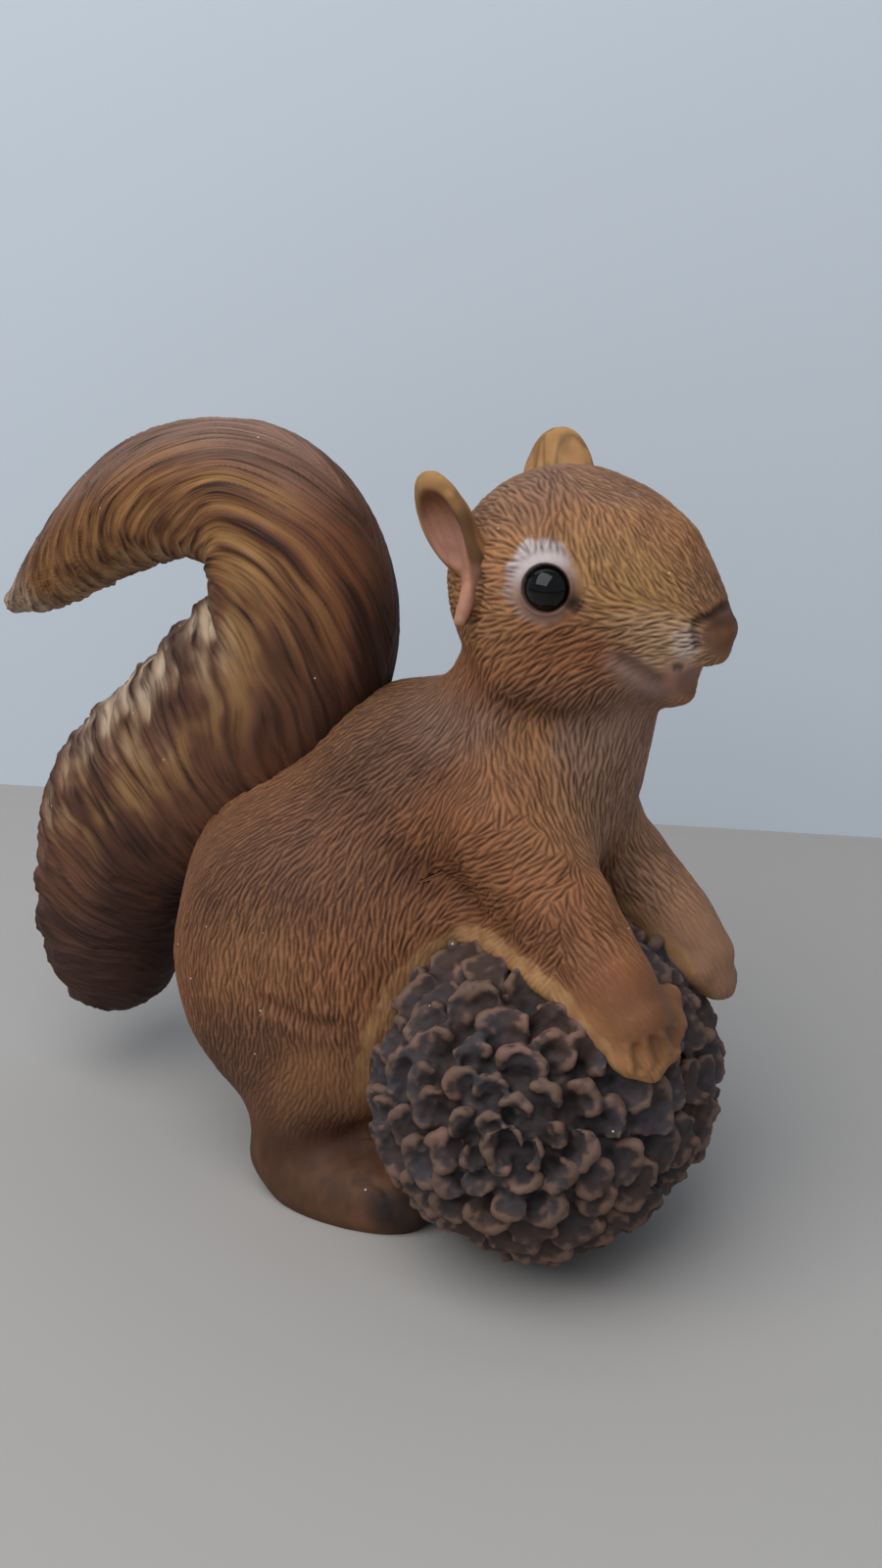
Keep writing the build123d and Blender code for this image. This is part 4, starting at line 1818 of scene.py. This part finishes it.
@dataclass
class Tail:
    """The plume, from its root behind the haunches to its tip."""

    reach: float = 84.0
    height: float = 130.2
    thickness: float = 42.4
    half_width: float = 14.8
    root: Point = (-14.0, 0.0, 13.5)
    sections: tuple[Point, ...] = (
        (0.71, 0.115, 0.33), (0.70, 0.205, 0.385), (0.634, 0.336, 0.46), (0.482, 0.442, 0.502),
        (0.30, 0.547, 0.50), (0.172, 0.65, 0.474), (0.129, 0.742, 0.435), (0.162, 0.825, 0.405),
        (0.247, 0.883, 0.350), (0.38, 0.896, 0.310), (0.513, 0.873, 0.284), (0.636, 0.825, 0.242),
        (0.758, 0.762, 0.186), (0.866, 0.708, 0.118), (0.936, 0.681, 0.055))
    around: int = 256
    rings: int = 386
    root_sweep: float = 3.0
    tip_sweep: float = 24.0
    lock_pitch: float = 2.5
    lock_rise: float = 1.35
    strand_pitch: float = 0.95
    knob_size: float = 4.4
    knob_rise: float = 1.7
    drift_size: float = 16.0
    drift_reach: float = 2.6
    usual_thickness: float = 18.0
    patch_size: float = 12.0
    patch_reach: float = 0.10
    coats: tuple[Coat, ...] = PLUME_COATS
    clay: Clay = Clay(5)

    def spine(self, count: int) -> Array:
        """The plume's middle line: rows of X, Y, Z and the half thickness there.

        Args:
            count: How many rows to give.

        Returns:
            The rows, evenly spaced.
        """
        rows = [(self.root[0] - back * self.reach, 0.0,
                 self.root[2] + up * self.height, half * self.thickness)
                for back, up, half in self.sections]
        return smooth_curve(np.array(rows), count)

    def swept(self, ball: Array) -> tuple[Array, Array, Array, Array]:
        """Draws a ball of rings along the plume.

        Args:
            ball: The ball's points, one unit from its middle, with its poles along Z.

        Returns:
            The points in millimetres, the share of the way to the tip, the angle from the
            outer ridge (0) to the inner one, and the millimetres along the plume.
        """
        line = self.spine(400)
        run = lengths_along(line)
        first, last = line[0, 3], line[-1, 3]
        total = run[-1] + first + last
        place = np.arccos(np.clip(-ball[:, 2], -1, 1)) / np.pi * total - first
        held = np.clip(place, 0, run[-1])
        middle = np.stack([np.interp(held, run, column) for column in line.T], axis=1)
        slope = np.gradient(line[:, :3], run, axis=0)
        ahead = unit(np.stack([np.interp(held, run, column) for column in slope.T], axis=1))
        thick = middle[:, 3]
        beyond = place - held
        cap = np.sqrt(np.maximum(1 - (beyond / np.where(beyond < 0, first, last)) ** 2, 0))
        angle = np.arctan2(ball[:, 1], -ball[:, 0])
        outer = np.stack([ahead[:, 2], np.zeros(len(ahead)), -ahead[:, 0]], axis=1)
        across = outer * (np.cos(angle) * thick * cap)[:, None]
        side = np.array([0, 1, 0]) * (np.sin(angle) * np.minimum(thick, self.half_width) * cap)[:, None]
        return middle[:, :3] + ahead * beyond[:, None] + across + side, held / run[-1], np.abs(angle), place

    def build(self, finish: Finish) -> Piece:
        """Makes the plume, combs it and paints it.

        Args:
            finish: The material.

        Returns:
            The plume.
        """
        deselect_all()
        bpy.ops.mesh.primitive_uv_sphere_add(segments=self.around, ring_count=self.rings, radius=MM)
        piece = bpy.context.object
        piece.name = piece.data.name = "tail_plume"
        points, share, angle, place = self.swept(read_points(piece))
        write_points(piece, points)
        normals = np.array([vertex.normal for vertex in piece.data.vertices])
        thick = np.interp(share, np.linspace(0, 1, 100), self.spine(100)[:, 3])
        drift = self.clay.rough(points, self.drift_size, 2) * self.drift_reach
        inner = ease((angle / np.pi - 0.55) / 0.3)
        sweep = mix(self.root_sweep, self.tip_sweep, ease((share - 0.3) / 0.6))
        turned = sweep * (angle + np.sin(angle)) * (thick / self.usual_thickness) ** 0.7
        strand = place - turned + drift
        comb = np.stack([strand / self.lock_pitch, angle * 1.2, points[:, 1] / 20], axis=1)
        locks = np.abs(self.clay.lumps(comb)) + 0.45 * np.abs(self.clay.lumps(comb * 2.1 + 7))
        fine = np.stack([strand / self.strand_pitch, angle * 2.2, points[:, 1] / 12], axis=1)
        knobs = self.clay.rough(points, self.knob_size, 2)
        low = ease((0.56 - share) / 0.12)
        tip = mix(0.35, 1.0, ease((1 - share) / 0.08))
        rise = (self.lock_rise * mix(0.55, 1.0, ease(angle / 1.4)) * (locks - 0.55)
                + self.knob_rise * inner * low * knobs) * tip
        write_points(piece, points + normals * rise[:, None])
        paint = self.paint(share, angle / np.pi, locks, knobs, points)
        wash = np.clip(0.75 - 1.5 * locks, 0, 1)
        wash += inner * low * np.clip(-knobs - 0.15, 0, 1) * 1.1
        for word, values in (("paint", paint), ("wash", np.clip(wash, 0, 1)), ("strand", fine)):
            add_layer(piece.data, word, values)
        piece.data.shade_smooth()
        dress(piece, ("tail",), finish)
        return piece

    def paint(self, share: Array, inward: Array, locks: Array, knobs: Array,
              points: Array) -> Array:
        """The plume's colours.

        Args:
            share: How far along the plume each point is, 0 at the root.
            inward: How far round it is, from the outer ridge at 0 to the inner one at 1.
            locks: How high the locks stand.
            knobs: How high the knobs of the inner edge stand.
            points: The points themselves.

        Returns:
            One linear colour for each point.
        """
        patchy = self.clay.rough(points, self.patch_size) * self.patch_reach
        inward = inward + patchy + (locks - 0.5) * 0.12
        share = share + patchy * 0.5
        locked = ease(locks / 0.9)
        knobbed = ease((locks + 0.8 * knobs - 0.1) / 0.7)
        paint = Pot.CHESTNUT.linear()
        for coat in self.coats:
            paint = lay(paint, coat.pot, coat.cover(share, inward, knobbed if coat.on_knobs else locked))
        return paint


# The pine cone: woody scales in a spiral, held end-on to the camera


@dataclass
class PineCone:
    """The cone that the squirrel hugs, its tip to the squirrel's right."""

    half: Point = (29.8, 35.0, 29.8)
    scales: int = 215
    crowding: float = 1.2
    golden: float = 137.508
    far_end: float = 0.97
    width: float = 10.2
    length: float = 10.0
    thickness: float = 3.5
    roundness: float = 6.2
    tip_share: float = 0.55
    tip_lift: float = 62.0
    side_lift: float = 24.0
    lift_wander: float = 9.0
    around_wander: float = 0.07
    twist_wander: float = 0.16
    size_spread: tuple[float, float] = (0.82, 1.14)
    sink: float = 1.2
    tip_way: Point = (0.13, -1.0, 0.17)
    voxel: float = 0.55
    seed: int = 8
    clay: Clay = Clay(23)

    def pattern(self) -> Piece:
        """Models one scale: broad and thick at its free edge, narrow at its root.

        Returns:
            The scale, at the origin, with its free edge ahead along Y.
        """
        deselect_all()
        bpy.ops.mesh.primitive_cube_add(size=MM)
        scale = bpy.context.object
        scale.scale = (self.width, self.length, self.thickness)
        bpy.ops.object.transform_apply()
        apply_modifier(scale, "BEVEL", width=0.4 * self.thickness * MM, segments=2)
        apply_modifier(scale, "SUBSURF", levels=3, render_levels=3)
        points = read_points(scale)
        forward = points[:, 1] / self.length + 0.5
        points[:, 0] *= mix(0.55, 1.0, ease(forward / 0.7))
        points[:, 1] -= 0.16 * self.length * (2 * points[:, 0] / self.width) ** 2 * forward
        points[:, 2] *= mix(0.7, 1.15, forward)
        write_points(scale, points)
        return scale

    def stand(self, place: int, rng: np.random.Generator) -> tuple[Array, Array, float]:
        """Where one scale sits and how it stands, counted from the cone's tip.

        Args:
            place: Which scale.
            rng: What makes each one a little unlike the next.

        Returns:
            Its middle, its own axes as columns, and its size as a share.
        """
        share = ((place + 0.5) / self.scales) ** self.crowding * self.far_end
        polar = np.arccos(1 - 2 * share)
        around = np.radians(self.golden * place) + rng.normal() * self.around_wander
        tip = unit(np.array(self.tip_way))
        level = unit(np.cross(tip, np.array([0.0, 0.0, 1.0])))
        ring = level * np.cos(around) + np.cross(level, tip) * np.sin(around)
        outward = tip * np.cos(polar) + ring * np.sin(polar)
        seat = outward * np.array(self.half)
        lift = mix(self.tip_lift, self.side_lift, ease(polar / 1.15)) + rng.normal() * self.lift_wander
        lean = polar + np.pi / 2 - np.radians(lift)
        blade = tip * np.cos(lean) + ring * np.sin(lean)
        across = unit(np.cross(ring, tip)) + blade * rng.normal() * self.twist_wander
        across = unit(across - blade * (across @ blade))
        face = np.cross(blade, across)
        size = mix(self.tip_share, 1.0, ease(polar / 0.95)) * rng.uniform(*self.size_spread)
        normal = unit(outward / np.array(self.half))
        middle = seat - normal * self.sink * size
        return middle, np.stack([across, blade, face], axis=1), size

    def build(self, finish: Finish) -> list[Piece]:
        """Makes the core and its scales, fuses them and paints the whole.

        Args:
            finish: The material.

        Returns:
            The cone's two halves.
        """
        deselect_all()
        Swelling(CONE_CENTRE, tuple(np.array(self.half) - self.sink), turn=CONE_TURN).block()
        core = bpy.context.object
        pattern = self.pattern()
        shape = read_points(pattern)
        spin = np.array(Matrix.Rotation(np.radians(CONE_TURN), 3, "Z"))
        rng = np.random.default_rng(self.seed)
        parts = [core]
        for place in range(self.scales):
            middle, axes, size = self.stand(place, rng)
            own = shape * size
            own[:, 2] -= own[:, 0] ** 2 / (2 * self.roundness * size)
            scale = add_object("scale", pattern.data.copy())
            write_points(scale, (own @ axes.T + middle) @ spin.T + np.array(CONE_CENTRE))
            parts.append(scale)
        bpy.data.objects.remove(pattern)
        lump = joined(parts)
        apply_modifier(lump, "REMESH", mode="VOXEL", voxel_size=self.voxel * MM)
        return self.finish_off(lump, finish)

    def finish_off(self, lump: Piece, finish: Finish) -> list[Piece]:
        """Roughens the fused cone, paints it with painted shade deep between its scales, and cuts it in two
        pieces.

        Args:
            lump: The fused mesh, which is used up.
            finish: The material.

        Returns:
            The half at the tip and the half behind it.
        """
        edges = read_edges(lump)
        points, quads = take_mesh(lump)
        points = mix(points, mean_of_neighbours(points, edges), 0.4)
        normals = point_normals(points, quads)
        rise = self.clay.rough(points, 3.6, 2) * 0.95 + self.clay.rough(points, 1.5, 2) * 0.5
        points = above_floor(points + normals * rise[:, None])
        normals = point_normals(points, quads)
        even = points
        for _ in range(5):
            even = mean_of_neighbours(even, edges)
        bulge = np.sum((points - even) * normals, axis=1) / self.voxel
        depth = -Swelling(CONE_CENTRE, tuple(np.array(self.half) + 2.2), turn=CONE_TURN).measure(points)[0]
        brushed = ease((bulge - 0.04) / 0.34 + self.clay.rough(points, 3.5, 2) * 0.9 - 0.25)
        brushed *= ease((4.2 - depth) / 2.5)
        rosy = ease(self.clay.rough(points, 7.0) * 1.6)
        hue = self.clay.rough(points, 9.0, 2)[:, None]
        paint = mix(Pot.SLATE.linear(), Pot.BARK.linear(), ease(hue + 0.45))
        rim = mix(Pot.RIM.linear(), Pot.ROSE.linear(), rosy[:, None] * 0.45)
        paint = mix(paint, rim, (0.7 * brushed)[:, None])
        # Dark wash in the gaps, with painted shade that grows the deeper a point lies between the scales
        wash = np.clip(ease((depth - 2.0) / 3.5) * 0.85 + np.clip(-bulge, 0, 1) * 0.9, 0, 1)
        layers = {"paint": paint, "wash": wash}
        front = points[quads].mean(axis=1)[:, 1] < CONE_CENTRE[1] - 6
        pieces = [mesh_piece("pine_cone_tip", points, normals, quads[front], layers),
                  mesh_piece("pine_cone_back", points, normals, quads[~front], layers)]
        for piece in pieces:
            dress(piece, ("pine_cone",), finish)
        return pieces


# Finishes


def fill_sockets(node: bpy.types.Node, inputs: dict) -> None:
    """Sets or links a node's inputs.

    Args:
        node: The node.
        inputs: What goes into each socket: another node's output, or a value.
    """
    for name, value in inputs.items():
        if isinstance(value, bpy.types.NodeSocket):
            node.id_data.links.new(value, node.inputs[name])
        else:
            node.inputs[name].default_value = value


def add_node(tree: bpy.types.NodeTree, kind: str, inputs: dict | None = None,
             **settings: object) -> bpy.types.Node:
    """Adds one shader node.

    Args:
        tree: The material's nodes.
        kind: The node's type, without the word that all shader nodes start with.
        inputs: What goes into each socket: another node's output, or a value.
        settings: The node's own settings.

    Returns:
        The node.
    """
    node = tree.nodes.new("ShaderNode" + kind)
    for name, value in settings.items():
        setattr(node, name, value)
    fill_sockets(node, inputs or {})
    return node


def plain_finish(name: str, colour: str, roughness: float, gloss: float = 0.5) -> Finish:
    """A finish of one even colour.

    Args:
        name: The material's name.
        colour: Its sRGB hex colour.
        roughness: How matt it is.
        gloss: How much it mirrors, as a share where 0.5 is what its index gives.

    Returns:
        The material.
    """
    finish = bpy.data.materials.new(name)
    finish.use_nodes = True
    fill_sockets(finish.node_tree.nodes["Principled BSDF"], {
        "Base Color": to_linear(colour), "Roughness": roughness, "Specular IOR Level": gloss})
    return finish


@dataclass(frozen=True)
class BeadGlass:
    """Black moulded glass: a hard gloss, with a thin film of dust that dulls it in patches."""

    name: str
    colour: str = "#040405"
    dust_colour: str = "#100e0d"
    polished: float = 0.04
    dusty: float = 0.13
    gloss: float = 0.3
    index: float = 1.5
    film_mm: float = 1.6

    def material(self) -> Finish:
        """Builds the material.

        Returns:
            The material.
        """
        finish = plain_finish(self.name, self.colour, self.polished, self.gloss)
        tree = finish.node_tree
        place = add_node(tree, "TexCoord").outputs["Object"]
        film = add_node(tree, "TexNoise", {
            "Vector": place, "Scale": 1 / (self.film_mm * MM), "Detail": 5.0, "Roughness": 0.7})
        dull = add_node(tree, "MapRange", {
            "Value": film.outputs["Fac"], "From Min": 0.45, "From Max": 0.75,
            "To Min": self.polished, "To Max": self.dusty})
        grey = add_node(tree, "MapRange", {
            "Value": film.outputs["Fac"], "From Min": 0.45, "From Max": 0.75, "To Min": 0.0, "To Max": 1.0})
        dusted = add_node(tree, "Mix", {
            "Factor": grey.outputs["Result"], "A": to_linear(self.colour), "B": to_linear(self.dust_colour)},
            data_type="RGBA")
        fill_sockets(tree.nodes["Principled BSDF"], {
            "Base Color": dusted.outputs["Result"], "Roughness": dull.outputs["Result"], "IOR": self.index})
        return finish


@dataclass(frozen=True)
class CastPaint:
    """Matt acrylic on a cast: a colour laid on, a dark wash in the hollows that also carries painted shade,
    a fine grain.
    """

    name: str
    wash_and_shade_colour: str = "#331d14"
    wash_and_shade_share: float = 0.85
    strand_depth_mm: float = 0.0
    roughness: float = 0.68
    index: float = 1.46
    gloss: float = 0.3
    grain_mm: float = 0.5
    grain_depth_mm: float = 0.035
    speck_mm: float = 2.2

    def material(self) -> Finish:
        """Builds the material.

        Returns:
            The material.
        """
        finish = bpy.data.materials.new(self.name)
        finish.use_nodes = True
        tree = finish.node_tree
        place = add_node(tree, "TexCoord").outputs["Object"]
        paint = add_node(tree, "Attribute", attribute_name="paint").outputs["Color"]
        wash = add_node(tree, "Attribute", attribute_name="wash").outputs["Fac"]
        # Brushed colour, a little uneven as hand-laid acrylic is
        cloud = add_node(tree, "TexNoise", {"Vector": place, "Scale": 1 / (9 * MM), "Detail": 4.0})
        uneven = add_node(tree, "MapRange", {
            "Value": cloud.outputs["Fac"], "From Min": 0.3, "From Max": 0.7, "To Min": 0.86, "To Max": 1.1})
        laid = add_node(tree, "HueSaturation", {"Color": paint, "Value": uneven.outputs["Result"]})
        # Thinned dark paint that stays in the scored lines, and painted shade where the piece darkens its
        # hollows
        cover = add_node(tree, "Math", {0: wash, 1: self.wash_and_shade_share}, operation="MULTIPLY")
        if self.strand_depth_mm:
            cover, strands = self.comb(tree, cover)
        washed = add_node(tree, "Mix", {
            "Factor": cover.outputs[0], "A": laid.outputs["Color"], "B": to_linear(self.wash_and_shade_colour)},
            data_type="RGBA")
        # A few pale specks where the paint missed or chipped
        cells = add_node(tree, "TexVoronoi", {"Vector": place, "Scale": 1 / (self.speck_mm * MM)})
        speck = add_node(tree, "MapRange", {
            "Value": cells.outputs["Distance"], "From Min": 0.07, "From Max": 0.1,
            "To Min": 1.0, "To Max": 0.0})
        rare = add_node(tree, "SeparateColor", {"Color": cells.outputs["Color"]})
        few = add_node(tree, "Math", {0: rare.outputs["Red"], 1: 0.97}, operation="GREATER_THAN")
        shown = add_node(tree, "Math", {0: speck.outputs["Result"], 1: few.outputs[0]},
                         operation="MULTIPLY")
        specked = add_node(tree, "Mix", {
            "Factor": shown.outputs[0], "A": washed.outputs["Result"], "B": to_linear(Pot.CREAM.value)},
            data_type="RGBA")
        grain = add_node(tree, "TexNoise", {
            "Vector": place, "Scale": 1 / (self.grain_mm * MM), "Detail": 3.0})
        bump = add_node(tree, "Bump", {
            "Height": grain.outputs["Fac"], "Distance": self.grain_depth_mm * MM, "Strength": 1.0})
        if self.strand_depth_mm:
            bump = add_node(tree, "Bump", {
                "Height": strands, "Distance": self.strand_depth_mm * MM, "Strength": 1.0,
                "Normal": bump.outputs["Normal"]})
        fill_sockets(tree.nodes["Principled BSDF"], {
            "Base Color": specked.outputs["Result"], "Normal": bump.outputs["Normal"],
            "Roughness": self.roughness, "IOR": self.index, "Specular IOR Level": self.gloss})
        return finish

    def comb(self, tree: bpy.types.NodeTree,
             cover: bpy.types.Node) -> tuple[bpy.types.Node, bpy.types.NodeSocket]:
        """Fine combed lines between the locks, where the piece says which way they run.

        Args:
            tree: The material's nodes.
            cover: How much wash the modelled hollows hold.

        Returns:
            The wash with what the fine lines hold, and the lines' height.
        """
        way = add_node(tree, "Attribute", attribute_name="strand").outputs["Vector"]
        noise = add_node(tree, "TexNoise", {"Vector": way, "Scale": 1.0, "Detail": 1.5})
        lines = noise.outputs["Fac"]
        held = add_node(tree, "MapRange", {
            "Value": lines, "From Min": 0.34, "From Max": 0.52, "To Min": 0.5, "To Max": 0.0})
        both = add_node(tree, "Math", {0: cover.outputs[0], 1: held.outputs["Result"]},
                        operation="ADD", use_clamp=True)
        return both, lines


# Floor, wall and light


@dataclass(frozen=True)
class Studio:
    """A pale table against a pale wall, in soft daylight from above and to the left."""

    floor_colour: str = "#aba7a3"
    wall_colour: str = "#d3dde6"
    corner_px: tuple[Pixel, Pixel] = ((0.0, 800.0), (900.0, 855.0))
    reach: float = 3.0
    key_place: Point = (-0.1, -0.42, 0.74)
    key_size: float = 0.85
    key_power: float = 6.0
    fill: float = 0.42
    fill_colour: str = "#e4ebf5"
    target: Point = (0.0, 0.0, 0.07)

    def floor(self) -> None:
        """Lays the table."""
        deselect_all()
        bpy.ops.mesh.primitive_plane_add(size=2 * self.reach)
        floor = bpy.context.object
        floor.name = "table_top"
        floor.data.materials.append(plain_finish("matt_table", self.floor_colour, 0.7))

    def wall(self) -> None:
        """Stands the wall where the photograph shows its foot, clear from behind."""
        left, right = (PHOTO.meets(pixel, 2, 0.0) for pixel in self.corner_px)
        run = unit(right - left)
        turn = np.arctan2(run[1], run[0])
        deselect_all()
        bpy.ops.mesh.primitive_plane_add(
            size=2 * self.reach, location=(left + right) / 2 * MM + np.array([0, 0, self.reach]),
            rotation=(np.pi / 2, 0, turn))
        wall = bpy.context.object
        wall.name = "back_wall"
        wall.visible_shadow = False
        finish = plain_finish("matt_wall", self.wall_colour, 0.9)
        tree = finish.node_tree
        side = add_node(tree, "NewGeometry").outputs["Backfacing"]
        clear = add_node(tree, "BsdfTransparent").outputs["BSDF"]
        paint = tree.nodes["Principled BSDF"].outputs["BSDF"]
        both = add_node(tree, "MixShader", {0: side, 1: paint, 2: clear})
        fill_sockets(tree.nodes["Material Output"], {"Surface": both.outputs["Shader"]})
        wall.data.materials.append(finish)

    def light(self) -> None:
        """Hangs the soft key light and fills the room."""
        lamp = bpy.data.lights.new("window", "AREA")
        lamp.energy = self.key_power
        lamp.size = self.key_size
        key = add_object("window", lamp)
        key.location = self.key_place
        aim = Vector(self.target) - Vector(self.key_place)
        key.rotation_euler = aim.to_track_quat("-Z", "Y").to_euler()
        world = bpy.data.worlds.new("room")
        bpy.context.scene.world = world
        world.use_nodes = True
        fill_sockets(world.node_tree.nodes["Background"], {
            "Color": to_linear(self.fill_colour), "Strength": self.fill})

    def build(self) -> None:
        """Sets the whole scene up."""
        self.floor()
        self.wall()
        self.light()
        bpy.context.scene.view_settings.view_transform = "Standard"


def report(label: str, pieces: list[Piece]) -> None:
    """Logs the pieces of a sub-assembly.

    Args:
        label: The sub-assembly.
        pieces: Its finished objects.
    """
    for piece in pieces:
        triangles = sum(len(face.vertices) - 2 for face in piece.data.polygons)
        LOG.info("%s: %s, %d triangles", label, piece.name, triangles)


def main() -> None:
    """Builds the figurine's visible pieces, the camera and the studio."""
    logging.basicConfig(level=logging.INFO, format="%(message)s")
    PHOTO.build()
    fur = CastPaint("brushed_fur_paint").material()
    plume = CastPaint("combed_tail_paint", strand_depth_mm=0.7).material()
    wood = CastPaint("dry_brushed_cone_paint", wash_and_shade_colour="#181313").material()
    glass = BeadGlass("black_glass_bead").material()
    skin = FurSkin(finish=fur)
    report("Skin", skin.dress_up())
    near_ear = Ear(Side.RIGHT, leaf_half=(5.4, 2.5, 10.6))
    far_ear = Ear(Side.LEFT, leaf=(16.9, 18.4, 133.6), leaf_half=(7.3, 2.5, 10.6))
    report("Ears", [near_ear.build(fur), far_ear.build(fur)])
    report("Eyes", [Bead(eye).build(glass) for eye in skin.eyes])
    report("Tail", [Tail().build(plume)])
    report("Pine cone", PineCone().build(wood))
    Studio().build()


if __name__ == "__main__":
    main()
